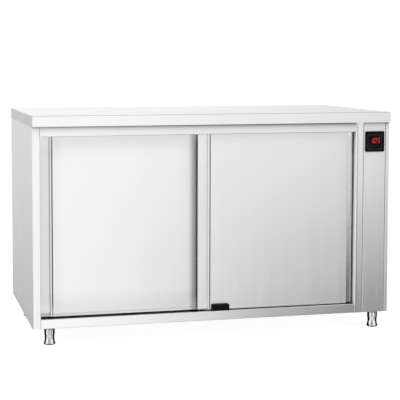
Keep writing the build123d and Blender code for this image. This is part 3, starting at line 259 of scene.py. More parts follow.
# Satin grain: fine parallel scratches with broader streaks between them, along the
# stretched axis of the place that is given.
FINER, FINE_SHARE = 14.0, 0.2

grain, given, made = node_group(
    "satin_grain",
    [("Place", "Vector", None), ("Depth", "Float", 0.1)],
    [("Streak", "Float"), ("Normal", "Vector")],
)
broad = add(grain, "TexNoise", Vector=given.outputs["Place"], Scale=1.0, Detail=3.0, Roughness=0.6)
fine_place = add(grain, "VectorMath", operation="SCALE", Scale=FINER)
grain.links.new(given.outputs["Place"], fine_place.inputs[0])
fine = add(grain, "TexNoise", Vector=fine_place.outputs[0], Scale=1.0, Detail=2.0, Roughness=0.7)
broad_part = maths(grain, "MULTIPLY", broad.outputs["Fac"], 1.0 - FINE_SHARE)
scratches = maths(grain, "MULTIPLY_ADD", fine.outputs["Fac"], FINE_SHARE, broad_part)
bump = add(grain, "Bump", Strength=given.outputs["Depth"], Distance=0.0002, Height=fine.outputs["Fac"])
grain.links.new(scratches, made.inputs["Streak"])
grain.links.new(bump.outputs["Normal"], made.inputs["Normal"])

# Corners and edges: how closed in each point is, for the shade painted into inside corners, and the rub
# on outside edges.
EDGE_GAIN, INSIDE_CORNER = 6.0, 0.35

corners, given, made = node_group(
    "corners_and_edges",
    [("Corner Reach", "Float", 0.03), ("Edge Radius", "Float", 0.0015)],
    [("Corner", "Float"), ("Edge", "Float")],
)
open_sky = add(corners, "AmbientOcclusion", samples=6, Distance=given.outputs["Corner Reach"])
closed_in = maths(corners, "SUBTRACT", 1.0, open_sky.outputs["AO"], clamp=True)
rounded = add(corners, "Bevel", samples=3, Radius=given.outputs["Edge Radius"])
flatness = add(corners, "VectorMath", operation="DOT_PRODUCT")
corners.links.new(rounded.outputs["Normal"], flatness.inputs[0])
corners.links.new(add(corners, "NewGeometry").outputs["Normal"], flatness.inputs[1])
turned = maths(corners, "SUBTRACT", 1.0, flatness.outputs["Value"], clamp=True)
at_edge = maths(corners, "MULTIPLY", turned, EDGE_GAIN, clamp=True)
outside = maths(corners, "LESS_THAN", closed_in, INSIDE_CORNER)
corners.links.new(closed_in, made.inputs["Corner"])
corners.links.new(maths(corners, "MULTIPLY", at_edge, outside), made.inputs["Edge"])

# Handling: a thin uneven film from wiping and fingers.
FILM_GAIN, FILM_START = 4.0, -0.7

handling, given, made = node_group("handling", [("Place", "Vector", None)], [("Film", "Float")])
cloudy = add(handling, "TexNoise", Vector=given.outputs["Place"], Scale=5.0, Detail=5.0, Roughness=0.55)
wiped = add(handling, "TexNoise", Vector=given.outputs["Place"], Scale=2.2, Detail=2.0, Distortion=1.4)
film = maths(handling, "MULTIPLY", cloudy.outputs["Fac"], wiped.outputs["Fac"])
film = maths(handling, "MULTIPLY_ADD", film, FILM_GAIN, FILM_START, clamp=True)
handling.links.new(film, made.inputs["Film"])

# Sheet wave: the slow unevenness of folded sheet, which bends what it mirrors.
wave, given, made = node_group(
    "sheet_wave",
    [("Place", "Vector", None), ("Depth", "Float", 0.2), ("Normal", "Vector", None)],
    [("Normal", "Vector")],
)
swell = add(wave, "TexNoise", Vector=given.outputs["Place"], Scale=2.6, Detail=1.0)
swell_bump = add(
    wave, "Bump", Strength=given.outputs["Depth"], Distance=0.02, Height=swell.outputs["Fac"],
    Normal=given.outputs["Normal"],
)
wave.links.new(swell_bump.outputs["Normal"], made.inputs["Normal"])


def material_with(name):
    """A material of one Principled surface; gives the material, its node tree and the surface."""
    material, tree = blank_material(name)
    surface = add(tree, "BsdfPrincipled")
    show(tree, surface)
    return material, tree, surface


def climb(tree, value, start, full, least=0.0, most=1.0):
    """Goes from least to most while value goes from start to full, and stays there."""
    node = add(tree, "MapRange", Value=value, From_Min=start, From_Max=full, To_Min=least, To_Max=most)
    return node.outputs["Result"]


def zone(*ramps, rougher=0.0, tone=1.0):
    """A place with its own roughness and tone: where all ramps, each (axis, from, to), are up."""
    return ramps, rougher, tone


def in_zone(tree, axes, ramps):
    """1 where all of a zone's ramps are up, and 0 where one is down."""
    inside = 1.0
    for axis, start, full in ramps:
        inside = maths(tree, "MULTIPLY", climb(tree, axes[axis], start, full), inside)
    return inside


def corner_shade(tree, axes, corner, shade, fades):
    """How far the painted shade darkens the inside corners; shade and fades are as metal has them."""
    strength, threshold, power = shade
    deep = maths(tree, "MAXIMUM", maths(tree, "SUBTRACT", corner, threshold), 0.0)
    shaded = maths(tree, "MULTIPLY", maths(tree, "POWER", deep, power), strength, clamp=True)
    for axis, start, full, least in fades:
        shaded = maths(tree, "MULTIPLY", shaded, climb(tree, axes[axis], start, full, least))
    return shaded


def under_hands(tree, axes, film, gripped):
    """The film that hands leave, thickest in the middle; gripped is as metal has it."""
    left, right, low, high = gripped
    aside = maths(tree, "ABSOLUTE", maths(tree, "SUBTRACT", axes["X"], (left + right) / 2))
    away = maths(tree, "ABSOLUTE", maths(tree, "SUBTRACT", axes["Z"], (low + high) / 2))
    across = maths(tree, "MULTIPLY_ADD", aside, -4.0 / (right - left), 2.0, clamp=True)
    upwards = maths(tree, "MULTIPLY_ADD", away, -2.0 / (high - low), 1.0, clamp=True)
    return maths(tree, "MULTIPLY", maths(tree, "MULTIPLY", across, upwards), film)


# Where the reflection painted on a round bar turns from its grey middle streak to its black sides.
STREAK_FULL, STREAK_END, STREAK_SHARE = 0.018, 0.045, 0.75
SIDES_START, SIDES_FULL = 0.19, 0.32


def painted_bar_reflection(tree, polished):
    """A reflection painted on a polished round bar, by the angle it is seen at: a grey streak down its
    middle, and black at its sides.
    """
    facing = add(tree, "LayerWeight", Blend=0.5).outputs["Facing"]
    streak = climb(tree, facing, STREAK_END, STREAK_FULL, most=STREAK_SHARE)
    streaked = blend_colours(tree, streak, polished, grey(0.28))
    return blend_colours(tree, climb(tree, facing, SIDES_START, SIDES_FULL), streaked, grey(0.01))


HANDS_DULLING, HANDS_SHARE = 0.10, 0.3
HANDS_TINT = (0.66, 0.65, 0.63, 1)
# How dark the painted shade in inside corners goes, as a share of the dark steel.
CORNER_SHADE_TONE = 0.12
RUBBED, RUBBED_SMOOTHER = (0.93, 0.93, 0.92, 1), -0.08


def metal(name, colour, dark, roughness, stretch, grain_depth=0.015, wave_depth=0.05,
          spread=0.05, film_roughness=0.03, shade=(1.5, 0.0, 1.0), reach=0.03, edge=0.4,
          edge_tint=1.0, metallic=1.0, matt=(), round_bar=False, fades=(), zones=(), gripped=()):
    """A metal finish, streaked between colour and dark along the axis that stretch leaves long.

    shade: how strongly the shade painted into inside corners darkens them, from which depth and with
    what power.
    fades: each (axis, from, to, least), where the corners' painted shade grows from least to full.
    zones: each from zone().
    matt: (axis, from, to), where the finish goes from matt to metal.
    round_bar: whether a polished round bar's reflection of the room is painted into its colour.
    gripped: (left, right, low, high), where hands leave a duller film.
    """
    material, tree, surface = material_with(name)
    place = add(tree, "TexCoord").outputs["Object"]
    axes = add(tree, "SeparateXYZ", Vector=place).outputs
    stretched = add(tree, "Mapping", Vector=place, Scale=stretch).outputs[0]
    sheet = place_group(tree, grain, Place=stretched, Depth=grain_depth)
    folds = place_group(tree, corners, Corner_Reach=reach)
    touched = place_group(tree, handling, Place=place)
    even = place_group(tree, wave, Place=place, Depth=wave_depth, Normal=sheet.outputs["Normal"])

    tinted = blend_colours(tree, sheet.outputs["Streak"], (*dark, 1), (*colour, 1))
    rough = maths(tree, "MULTIPLY_ADD", sheet.outputs["Streak"], spread, roughness - spread / 2)
    rough = maths(tree, "MULTIPLY_ADD", touched.outputs["Film"], film_roughness, rough)
    for ramps, rougher, tone in zones:
        inside = in_zone(tree, axes, ramps)
        rough = maths(tree, "MULTIPLY_ADD", inside, rougher, rough)
        toned = add(tree, "VectorMath", operation="MULTIPLY")
        tree.links.new(tinted, toned.inputs[0])
        tree.links.new(blend_colours(tree, inside, grey(1.0), grey(tone)), toned.inputs[1])
        tinted = toned.outputs[0]
    if gripped:
        hands = under_hands(tree, axes, touched.outputs["Film"], gripped)
        rough = maths(tree, "MULTIPLY_ADD", hands, HANDS_DULLING, rough)
        tinted = blend_colours(tree, maths(tree, "MULTIPLY", hands, HANDS_SHARE), tinted, HANDS_TINT)
    # Inside corners are darkened in the colour by ambient occlusion: a painted shade.
    shaded = corner_shade(tree, axes, folds.outputs["Corner"], shade, fades)
    painted_corner_shade = tuple(CORNER_SHADE_TONE * c for c in dark) + (1,)
    tinted = blend_colours(tree, shaded, tinted, painted_corner_shade)
    rubbed = maths(tree, "MULTIPLY", folds.outputs["Edge"], edge)
    tinted = blend_colours(tree, rubbed, tinted, RUBBED)
    if round_bar:
        tinted = painted_bar_reflection(tree, tinted)
    rough = maths(tree, "MULTIPLY_ADD", folds.outputs["Edge"], RUBBED_SMOOTHER, rough, clamp=True)

    tree.links.new(tinted, surface.inputs["Base Color"])
    tree.links.new(rough, surface.inputs["Roughness"])
    tree.links.new(even.outputs["Normal"], surface.inputs["Normal"])
    surface.inputs["Specular Tint"].default_value = grey(edge_tint)
    surface.inputs["Metallic"].default_value = metallic
    if matt:
        axis, start, full = matt
        tree.links.new(climb(tree, axes[axis], start, full), surface.inputs["Metallic"])
    return material


def dress(material, *names):
    """Gives CAD nodes a finish through their own material slots."""
    for name in names:
        mesh = nodes[name].data
        mesh.materials.clear()
        mesh.materials.append(material)


# The lowest 5 mm of the polished legs are painted near black: a painted shade where they stand on the
# floor.
RIM_SHADE_TOP, RIM_SHADE_FULL = 0.0050, 0.0025

polished_steel = metal(
    "polished_steel", (0.95, 0.95, 0.95), (0.89, 0.89, 0.895), 0.06, (40, 40, 900),
    grain_depth=0.05, wave_depth=0.0, film_roughness=0.05, shade=(3.0, 0.05, 1.0), reach=0.012,
    edge_tint=0.1, round_bar=True, zones=[zone(("Z", RIM_SHADE_TOP, RIM_SHADE_FULL), tone=0.08)],
)
zinc_plated_steel = metal(
    "zinc_plated_steel", (0.66, 0.67, 0.69), (0.50, 0.52, 0.55), 0.36, (45, 45, 45),
    grain_depth=0.25, spread=0.16,
)
dress(polished_steel, "leg_sleeves")
dress(polished_steel, "front_left_foot", "front_right_foot", "rear_left_foot", "rear_right_foot")
dress(zinc_plated_steel, "leg_nut_plates")


# Body. Folded sheets of satin stainless steel: base, two sides, back, the rails over
# and under the door opening and the post at its right, spot welded into one box.
def span(name, axis):
    """From where to where a CAD node reaches along an axis."""
    places = [corner["XYZ".index(axis)] for corner in nodes[name].bound_box]
    return min(places), max(places)


STEEL_LIGHT = (0.91, 0.91, 0.905)
STEEL_DARK = (0.85, 0.85, 0.855)
ALONG_X = (1.2, 60, 60)
UPRIGHT = (60, 60, 1.2)
RAIL_LEFT, RAIL_RIGHT = -0.66, 0.56
SILL_DARKER_FROM = -0.20
SIDE_FRONT = span("left_side_panel", "Y")[0]
BEHIND_STILE = ("Y", SIDE_FRONT + 0.0008, SIDE_FRONT + 0.0018)
WELD_LINE = span("base_panel", "Z")[1] + 0.0075
WELD_HALF, WELD_EDGE = 0.0010, 0.0005
POST_LEFT = span("door_post", "X")[0]
RETURN_LEFT, RETURN_MIDDLE, RETURN_RIGHT = POST_LEFT + 0.0004, POST_LEFT + 0.0010, POST_LEFT + 0.0016
BEND_SHADE_LEFT, BEND_SHADE_RIGHT, BEND_SHADE_EDGE = POST_LEFT + 0.0030, POST_LEFT + 0.0086, 0.0006

satin_level = metal(
    "satin_steel_level", STEEL_LIGHT, STEEL_DARK, 0.21, ALONG_X, shade=(2.3, 0.0, 1.0), reach=0.06
)
# The shade under the worktop's overhang is painted into the top rail's colour, weaker towards the left.
satin_rail = metal(
    "satin_steel_rail", STEEL_LIGHT, STEEL_DARK, 0.20, ALONG_X, shade=(1.75, 0.05, 0.5), reach=0.08,
    fades=[("X", RAIL_LEFT, RAIL_RIGHT, 0.78)],
)
# The gap over the sill under the doors is painted near black, a painted shade, and right of
# SILL_DARKER_FROM the sill's colour is darkened, a painted shade too.
satin_sill = metal(
    "satin_steel_sill", STEEL_LIGHT, STEEL_DARK, 0.19, ALONG_X, shade=(6.0, 0.60, 1.0), reach=0.05,
    zones=[zone(("X", SILL_DARKER_FROM, RAIL_RIGHT), tone=0.86)],
)
satin_upright = metal(
    "satin_steel_upright", STEEL_LIGHT, STEEL_DARK, 0.24, UPRIGHT, shade=(2.0, 0.0, 1.0), reach=0.05,
    zones=[
        zone(
            ("Z", WELD_LINE + WELD_HALF, WELD_LINE + WELD_EDGE),
            ("Z", WELD_LINE - WELD_HALF, WELD_LINE - WELD_EDGE),
            BEHIND_STILE, tone=0.90,
        ),
        zone(
            ("Z", WELD_LINE - WELD_EDGE, WELD_LINE - WELD_HALF),
            BEHIND_STILE, rougher=0.03, tone=1.04,
        ),
    ],
)
# The post's return is made matt and its colour lightened, a painted highlight; a thin band along the
# bend beside it is darkened, a painted shade.
satin_post = metal(
    "satin_steel_post", STEEL_LIGHT, STEEL_DARK, 0.18, UPRIGHT, shade=(0.2, 0.0, 1.0), edge=0.0,
    matt=("X", RETURN_LEFT, RETURN_RIGHT),
    zones=[
        zone(("X", RETURN_MIDDLE, RETURN_LEFT), tone=1.08),
        zone(
            ("X", BEND_SHADE_LEFT, BEND_SHADE_LEFT + BEND_SHADE_EDGE),
            ("X", BEND_SHADE_RIGHT, BEND_SHADE_RIGHT - BEND_SHADE_EDGE),
            tone=0.66,
        ),
    ],
)
dress(satin_level, "base_panel")
dress(satin_rail, "top_rail")
dress(satin_sill, "bottom_rail")
dress(satin_upright, "left_side_panel", "right_side_panel", "back_panel")
dress(satin_post, "door_post")


# Heated chamber. Its walls, floor and ceiling are bright rolled stainless sheet,
# wrapped in mineral wool, with one shelf on angle supports.
WOOL_DARK, WOOL_PALE = (0.36, 0.32, 0.20, 1), (0.72, 0.67, 0.50, 1)
FIBRE_STRETCH = (90, 90, 380)
CLUMP_SCALE, CLUMP_SHARE = 38.0, 2.0
WOOL_ROUGHNESS, WOOL_DEPTH = 0.95, 0.002

liner_steel = metal(
    "liner_steel", (0.86, 0.86, 0.855), (0.79, 0.79, 0.795), 0.34, (14, 14, 14), grain_depth=0.08,
    wave_depth=0.35, spread=0.12, shade=(0.9, 0.0, 1.0), reach=0.06, metallic=0.25,
)
shelf_steel = metal("shelf_steel", STEEL_LIGHT, STEEL_DARK, 0.30, ALONG_X, shade=(1.0, 0.0, 1.0))
dress(liner_steel, "chamber_left_wall", "chamber_right_wall", "chamber_back_wall")
dress(liner_steel, "chamber_floor", "chamber_ceiling")
dress(shelf_steel, "shelf", "shelf_supports")

mineral_wool, tree, surface = material_with("mineral_wool")
place = add(tree, "TexCoord").outputs["Object"]
laid = add(tree, "Mapping", Vector=place, Scale=FIBRE_STRETCH).outputs[0]
fibres = add(tree, "TexNoise", Vector=laid, Scale=1.0, Detail=4.0, Distortion=2.0)
clumps = add(tree, "TexNoise", Vector=place, Scale=CLUMP_SCALE, Detail=3.0)
wool_colour = blend_colours(tree, fibres.outputs["Fac"], WOOL_DARK, WOOL_PALE)
wool_height = maths(tree, "MULTIPLY_ADD", clumps.outputs["Fac"], CLUMP_SHARE, fibres.outputs["Fac"])
wool_bump = add(tree, "Bump", Strength=0.8, Distance=WOOL_DEPTH, Height=wool_height)
tree.links.new(wool_colour, surface.inputs["Base Color"])
tree.links.new(wool_bump.outputs["Normal"], surface.inputs["Normal"])
surface.inputs["Roughness"].default_value = WOOL_ROUGHNESS
dress(mineral_wool, "cabinet_insulation", "left_door_insulation", "right_door_insulation")


# Heater. A steel box beside the chamber holds a ring element round a fan, which a
# motor on the far side turns, behind the punched intake cover.
DUST_SHARE, EDGE_DUST = 0.5, 0.35
SPECKLE_SPREAD, FILM_SPREAD = 0.16, 0.08


def moulded(name, colour, pale, roughness, speckle, depth, ior=1.5):
    """A plastic, rubber or paint with a fine texture and a little pale dust."""
    material, tree, surface = material_with(name)
    place = add(tree, "TexCoord").outputs["Object"]
    texture = add(tree, "TexNoise", Vector=place, Scale=speckle, Detail=3.0)
    touched = place_group(tree, handling, Place=place)
    folds = place_group(tree, corners, Corner_Reach=0.006, Edge_Radius=0.0006)
    dusty = maths(tree, "MULTIPLY", touched.outputs["Film"], DUST_SHARE, clamp=True)
    dusty = maths(tree, "MULTIPLY_ADD", folds.outputs["Edge"], EDGE_DUST, dusty, clamp=True)
    smoothest = roughness - SPECKLE_SPREAD / 2
    rough = maths(tree, "MULTIPLY_ADD", texture.outputs["Fac"], SPECKLE_SPREAD, smoothest)
    rough = maths(tree, "MULTIPLY_ADD", touched.outputs["Film"], FILM_SPREAD, rough)
    bump = add(tree, "Bump", Strength=depth, Distance=0.0002, Height=texture.outputs["Fac"])
    tree.links.new(blend_colours(tree, dusty, (*colour, 1), (*pale, 1)), surface.inputs["Base Color"])
    tree.links.new(rough, surface.inputs["Roughness"])
    tree.links.new(bump.outputs["Normal"], surface.inputs["Normal"])
    surface.inputs["IOR"].default_value = ior
    return material


element_steel = metal(
    "element_steel", (0.34, 0.29, 0.26), (0.16, 0.15, 0.16), 0.42, (30, 30, 30), grain_depth=0.2,
    wave_depth=0.0, spread=0.2, edge=0.1,
)
cast_aluminium = metal(
    "cast_aluminium", (0.62, 0.63, 0.64), (0.47, 0.48, 0.49), 0.5, (160, 160, 160), grain_depth=0.5,
    wave_depth=0.0, spread=0.12,
)
shaft_steel = metal(
    "shaft_steel", (0.62, 0.62, 0.62), (0.50, 0.50, 0.50), 0.24, (600, 40, 40), wave_depth=0.0
)
motor_paint = moulded("motor_casing", (0.05, 0.052, 0.055), (0.12, 0.12, 0.12), 0.5, 900, 0.5)
black_plastic = moulded(
    "black_plastic", (0.004, 0.004, 0.005), (0.02, 0.02, 0.02), 0.42, 1400, 0.5, ior=1.16
)
black_rubber = moulded("black_rubber", (0.010, 0.010, 0.010), (0.05, 0.05, 0.048), 0.7, 700, 0.6)
dress(zinc_plated_steel, "heater_box")
dress(liner_steel, "air_intake_cover")
dress(element_steel, "heating_element")
dress(cast_aluminium, "fan_impeller")
dress(shaft_steel, "fan_shaft", "temperature_probe")
dress(motor_paint, "fan_motor")
dress(black_plastic, "terminal_block", "safety_thermostat")
dress(black_rubber, "mains_gland")


# Door gear. Each door hangs by two plated brackets with nylon rollers in a folded
# track behind the top rail, and a moulded guide on the sill keeps both doors upright.
white_nylon = moulded("white_nylon", (0.74, 0.73, 0.69), (0.60, 0.59, 0.55), 0.45, 500, 0.3)
for side in ("left", "right"):
    dress(zinc_plated_steel, f"{side}_door_hangers")
    dress(shaft_steel, f"{side}_door_roller_axles", f"{side}_door_hanger_screws")
    dress(white_nylon, f"{side}_door_left_rollers", f"{side}_door_right_rollers")
dress(zinc_plated_steel, "door_tracks")
dress(black_rubber, "track_stops")
dress(black_plastic, "bottom_door_guide")


# Doors. One sheet is folded into each outer skin, with the grip recess at its left
# edge and the step at its closing edge; a flat inner skin closes the wool inside.
DOOR_BOTTOM = span("left_door_outer_skin", "Z")[0]
OPENING_TOP = span("top_rail", "Z")[0]
LEFT_DOOR_LEFT = span("left_door_outer_skin", "X")[0]
RIGHT_DOOR_LEFT, RIGHT_DOOR_RIGHT = span("right_door_outer_skin", "X")
GRIP_WIDTH, LIP_WIDTH = 0.037, 0.007
SEAM_WIDTH, SEAM_EDGE = 0.003, 0.0002
HANDS_LOW, HANDS_HIGH = 0.32, 0.68
LEFT_GRIP_END = LEFT_DOOR_LEFT + GRIP_WIDTH
SHADOW_START, SHADOW_FULL = RIGHT_DOOR_LEFT - 0.032, RIGHT_DOOR_LEFT - 0.012
STEP_SIDE, STEP_FACE = RIGHT_DOOR_RIGHT - 0.0235, RIGHT_DOOR_RIGHT - 0.0225
STEP_DARKER_BELOW, STEP_DARKEST_BELOW = 0.45, 0.12


def door_finish(side, left_edge, seam_shade_tone, fades, zones, matt=()):
    """The satin steel of a door, with what both doors have: grip, folded seam with a painted shade in
    it, film of hands.
    """
    grip_end = left_edge + GRIP_WIDTH
    seam_left = grip_end + LIP_WIDTH
    seam_right = seam_left + SEAM_WIDTH
    seam = zone(
        ("X", seam_left - SEAM_EDGE, seam_left + SEAM_EDGE),
        ("X", seam_right + SEAM_EDGE, seam_right - SEAM_EDGE),
        tone=seam_shade_tone,
    )
    over_sill = ("Z", DOOR_BOTTOM + 0.009, DOOR_BOTTOM + 0.059, 0.0)
    past_grip = ("X", grip_end + 0.0012, grip_end + 0.0016, 0.3)
    return metal(
        f"satin_steel_{side}_door", STEEL_LIGHT, STEEL_DARK, 0.24, UPRIGHT,
        shade=(1.3, 0.15, 0.6), reach=0.10, matt=matt, fades=[over_sill, past_grip, *fades],
        zones=[seam, *zones], gripped=(left_edge, grip_end, HANDS_LOW, HANDS_HIGH),
    )


# The soft shadow that the right door throws on the left one is painted into the left door's colour. The
# lowest edge of the left door is matt, because polished it would only mirror the dark gap over the
# sill, and its colour is lightened there as a painted highlight.
satin_left_door = door_finish(
    "left", LEFT_DOOR_LEFT, 0.80,
    fades=[("Z", OPENING_TOP, OPENING_TOP - 0.06, 0.15)],
    zones=[
        # The left door's grip recess is darkened a little: a painted shade.
        zone(("X", LEFT_GRIP_END + 0.0004, LEFT_GRIP_END), tone=0.90),
        zone(("X", SHADOW_START, SHADOW_FULL), tone=0.52),
        zone(("Z", DOOR_BOTTOM + 0.011, DOOR_BOTTOM + 0.005), tone=1.13),
    ],
    matt=("Z", DOOR_BOTTOM + 0.004, DOOR_BOTTOM + 0.013),
)
satin_right_door = door_finish(
    "right", RIGHT_DOOR_LEFT, 0.72,
    fades=[("X", STEP_FACE, STEP_SIDE, 0.6), ("Z", OPENING_TOP, OPENING_TOP - 0.03, 0.15)],
    zones=[
        zone(("X", STEP_SIDE, STEP_FACE), rougher=-0.13),
        # The closing step's colour is darkened towards the bottom: a painted shade.
        zone(("X", STEP_SIDE, STEP_FACE), ("Z", STEP_DARKER_BELOW, STEP_DARKEST_BELOW), tone=0.65),
    ],
)
dress(satin_left_door, "left_door_outer_skin")
dress(satin_right_door, "right_door_outer_skin")
dress(liner_steel, "left_door_inner_skin", "right_door_inner_skin")


# Worktop. One sheet with its four edges folded down, stiffened below by three plated channels. Its ends
# are welded at the corners, and are darker and rougher than the rest.
WORKTOP_LEFT, WORKTOP_RIGHT = span("worktop", "X")
DARKER_ENDS_START, DARKER_ENDS_FULL = 0.0032, 0.0022

satin_worktop = metal(
    "satin_steel_worktop", (0.92, 0.92, 0.915), (0.87, 0.87, 0.875), 0.24, ALONG_X,
    shade=(1.2, 0.0, 1.0),
    zones=[
        zone(("X", WORKTOP_LEFT + DARKER_ENDS_START, WORKTOP_LEFT + DARKER_ENDS_FULL), rougher=0.06, tone=0.80),
        zone(("X", WORKTOP_RIGHT - DARKER_ENDS_START, WORKTOP_RIGHT - DARKER_ENDS_FULL), rougher=0.06, tone=0.80),
    ],
)
dress(satin_worktop, "worktop")
dress(zinc_plated_steel, "worktop_stiffeners")


# Screws. Ten pan head screws with cross recesses hold the removable back, and two
# more, sunk into the base of the door guide, hold it to the sill.
HEAD_RADIUS, HEAD_HEIGHT, HEAD_ROUNDING = 0.0040, 0.0019, 0.0011
SHANK_RADIUS, SHANK_LENGTH = 0.0020, 0.0080
RECESS_LENGTH, RECESS_WIDTH, RECESS_DEPTH = 0.0042, 0.0009, 0.0012
EDGE_TO_SCREW = 0.010
BACK_FACE = span("back_panel", "Y")[1]
BACK_COLUMN = span("back_panel", "X")[1] - EDGE_TO_SCREW
BACK_HEIGHTS = (0.100, 0.2685, 0.437, 0.6055, 0.774)
GUIDE_SEAT = 0.0921
GUIDE_HOLES = ((-0.050, -0.309), (0.0205, -0.282))
TURN_BETWEEN_SCREWS = math.radians(37)


def select_only(piece, kind, wanted):
    """Opens a piece in edit mode with only the wanted ones of its faces or edges selected."""
    bpy.ops.object.mode_set(mode="EDIT")
    bpy.ops.mesh.select_mode(type=kind)
    bpy.ops.mesh.select_all(action="DESELECT")
    bpy.ops.object.mode_set(mode="OBJECT")
    for element in piece.data.polygons if kind == "FACE" else piece.data.edges:
        element.select = wanted(element)
    bpy.ops.object.mode_set(mode="EDIT")


def placed_copy(model, place):
    """A copy of a piece with a mesh of its own, moved by the matrix place."""
    copy = model.copy()
    copy.data = model.data.copy()
    copy.data.transform(place)
    scene.collection.objects.link(copy)
    return copy


def joined(name, pieces):
    """Joins pieces into one object of this name."""
    bpy.ops.object.select_all(action="DESELECT")
    for piece in pieces:
        piece.select_set(True)
    bpy.context.view_layer.objects.active = pieces[0]
    bpy.ops.object.join()
    pieces[0].name = name
    return pieces[0]


bpy.ops.object.select_all(action="DESELECT")
bpy.ops.mesh.primitive_cylinder_add(
    vertices=32, radius=HEAD_RADIUS, depth=HEAD_HEIGHT, location=(0, 0, HEAD_HEIGHT / 2)
)
screw = bpy.context.object
bpy.ops.object.transform_apply(location=True)
select_only(screw, "FACE", lambda face: face.normal.z < -0.9)
bpy.ops.mesh.inset(thickness=HEAD_RADIUS - SHANK_RADIUS)
bpy.ops.mesh.extrude_region_move(TRANSFORM_OT_translate={"value": (0, 0, -SHANK_LENGTH)})
points = screw.data.vertices
select_only(
    screw, "EDGE", lambda edge: all(points[end].co.z > HEAD_HEIGHT * 0.9 for end in edge.vertices)
)
bpy.ops.mesh.bevel(offset=HEAD_ROUNDING, segments=4, affect="EDGES")
bpy.ops.object.mode_set(mode="OBJECT")

bpy.ops.object.select_all(action="DESELECT")
bpy.ops.mesh.primitive_cube_add(size=1, location=(0, 0, HEAD_HEIGHT))
cutter = bpy.context.object
bpy.ops.object.mode_set(mode="EDIT")
bpy.ops.transform.resize(
    value=(RECESS_LENGTH, RECESS_WIDTH, 2 * RECESS_DEPTH), center_override=(0, 0, HEAD_HEIGHT)
)
bpy.ops.mesh.duplicate()
bpy.ops.transform.rotate(value=math.pi / 2, orient_axis="Z", center_override=(0, 0, HEAD_HEIGHT))
bpy.ops.object.mode_set(mode="OBJECT")
recess = screw.modifiers.new("cross_recess", "BOOLEAN")
recess.operation = "DIFFERENCE"
recess.solver = "EXACT"
recess.use_self = True
recess.object = cutter
bpy.context.view_layer.objects.active = screw
bpy.ops.object.modifier_apply(modifier="cross_recess")
bpy.data.objects.remove(cutter)

facing_back = Matrix.Rotation(math.radians(-90), 4, "X")
seats = [
    Matrix.Translation((side * BACK_COLUMN, BACK_FACE, height)) @ facing_back
    for side in (-1, 1) for height in BACK_HEIGHTS
]
seats += [Matrix.Translation((x, y, GUIDE_SEAT)) for x, y in GUIDE_HOLES]
panel_screws = joined("panel_screws", [
    placed_copy(screw, seat @ Matrix.Rotation(number * TURN_BETWEEN_SCREWS, 4, "Z"))
    for number, seat in enumerate(seats)
])
bpy.data.objects.remove(screw)
bpy.ops.object.shade_smooth_by_angle(angle=math.radians(30))
panel_screws.data.materials.append(shaft_steel)
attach(panel_screws, "cabinet")
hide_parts("body_screws")


# Controls. A removable fascia closes the column at the right, with a square display
# let into it: a black frame, a dark glass, red figures and four touch keys.
GLASS_CLEAN, GLASS_TOUCHED = (0.003, 0.003, 0.004, 1), (0.010, 0.010, 0.011, 1)
GLASS_ROUGHNESS, TOUCHED_ROUGHER = 0.05, 0.10
FILM_ENLARGED = (9, 9, 9)
RED_DARK, RED_BRIGHT = (0.50, 0.012, 0.015, 1), (0.78, 0.03, 0.025, 1)
GLOW_DARK, GLOW_BRIGHT = (0.62, 0.02, 0.02, 1), (1.0, 0.06, 0.04, 1)

satin_fascia = metal(
    "satin_steel_fascia", STEEL_LIGHT, STEEL_DARK, 0.19, UPRIGHT, shade=(2.0, 0.0, 1.0), reach=0.05
)
display_frame = moulded(
    "display_frame", (0.004, 0.004, 0.004), (0.012, 0.012, 0.012), 0.3, 1400, 0.2, ior=1.15
)
grey_print = moulded("grey_print", (0.12, 0.12, 0.125), (0.16, 0.16, 0.16), 0.4, 900, 0.1)

display_glass, tree, surface = material_with("display_glass")
place = add(tree, "TexCoord").outputs["Object"]
enlarged = add(tree, "Mapping", Vector=place, Scale=FILM_ENLARGED).outputs[0]
film = place_group(tree, handling, Place=enlarged).outputs["Film"]
tree.links.new(blend_colours(tree, film, GLASS_CLEAN, GLASS_TOUCHED), surface.inputs["Base Color"])
rough = maths(tree, "MULTIPLY_ADD", film, TOUCHED_ROUGHER, GLASS_ROUGHNESS)
tree.links.new(rough, surface.inputs["Roughness"])
surface.inputs["IOR"].default_value = 1.13

lit_red, tree, surface = material_with("lit_red_figures")
place = add(tree, "TexCoord").outputs["Object"]
cells = add(tree, "TexNoise", Vector=place, Scale=420.0, Detail=1.0).outputs["Fac"]
tree.links.new(blend_colours(tree, cells, RED_DARK, RED_BRIGHT), surface.inputs["Base Color"])
tree.links.new(blend_colours(tree, cells, GLOW_DARK, GLOW_BRIGHT), surface.inputs["Emission Color"])
surface.inputs["Emission Strength"].default_value = 0.80
surface.inputs["Roughness"].default_value = 0.3

dress(satin_fascia, "control_fascia")
dress(zinc_plated_steel, "controller_housing")
dress(display_frame, "display_bezel")
dress(display_glass, "display_glass")

# The red figures are thin slabs on the glass: seven-segment ones that lean to the right.
GLASS_FRONT = span("display_glass", "Y")[0]
INK = 0.00008
DIGIT_WIDTH, DIGIT_HEIGHT, DIGIT_PITCH = 0.0088, 0.0185, 0.0148
HALF = DIGIT_HEIGHT / 2
STROKE, GAP = 0.0014, 0.0006
POINT_LENGTH, POINT_SHARE = STROKE / 2.4, 0.12
FIGURES = ("bc", "abcdef", "afgcd")
FIGURES_LEFT, FIGURES_BOTTOM = 0.6175, 0.7300
LEAN = math.radians(15)
SLANT = Matrix.Identity(4)
SLANT[0][2] = math.tan(LEAN)
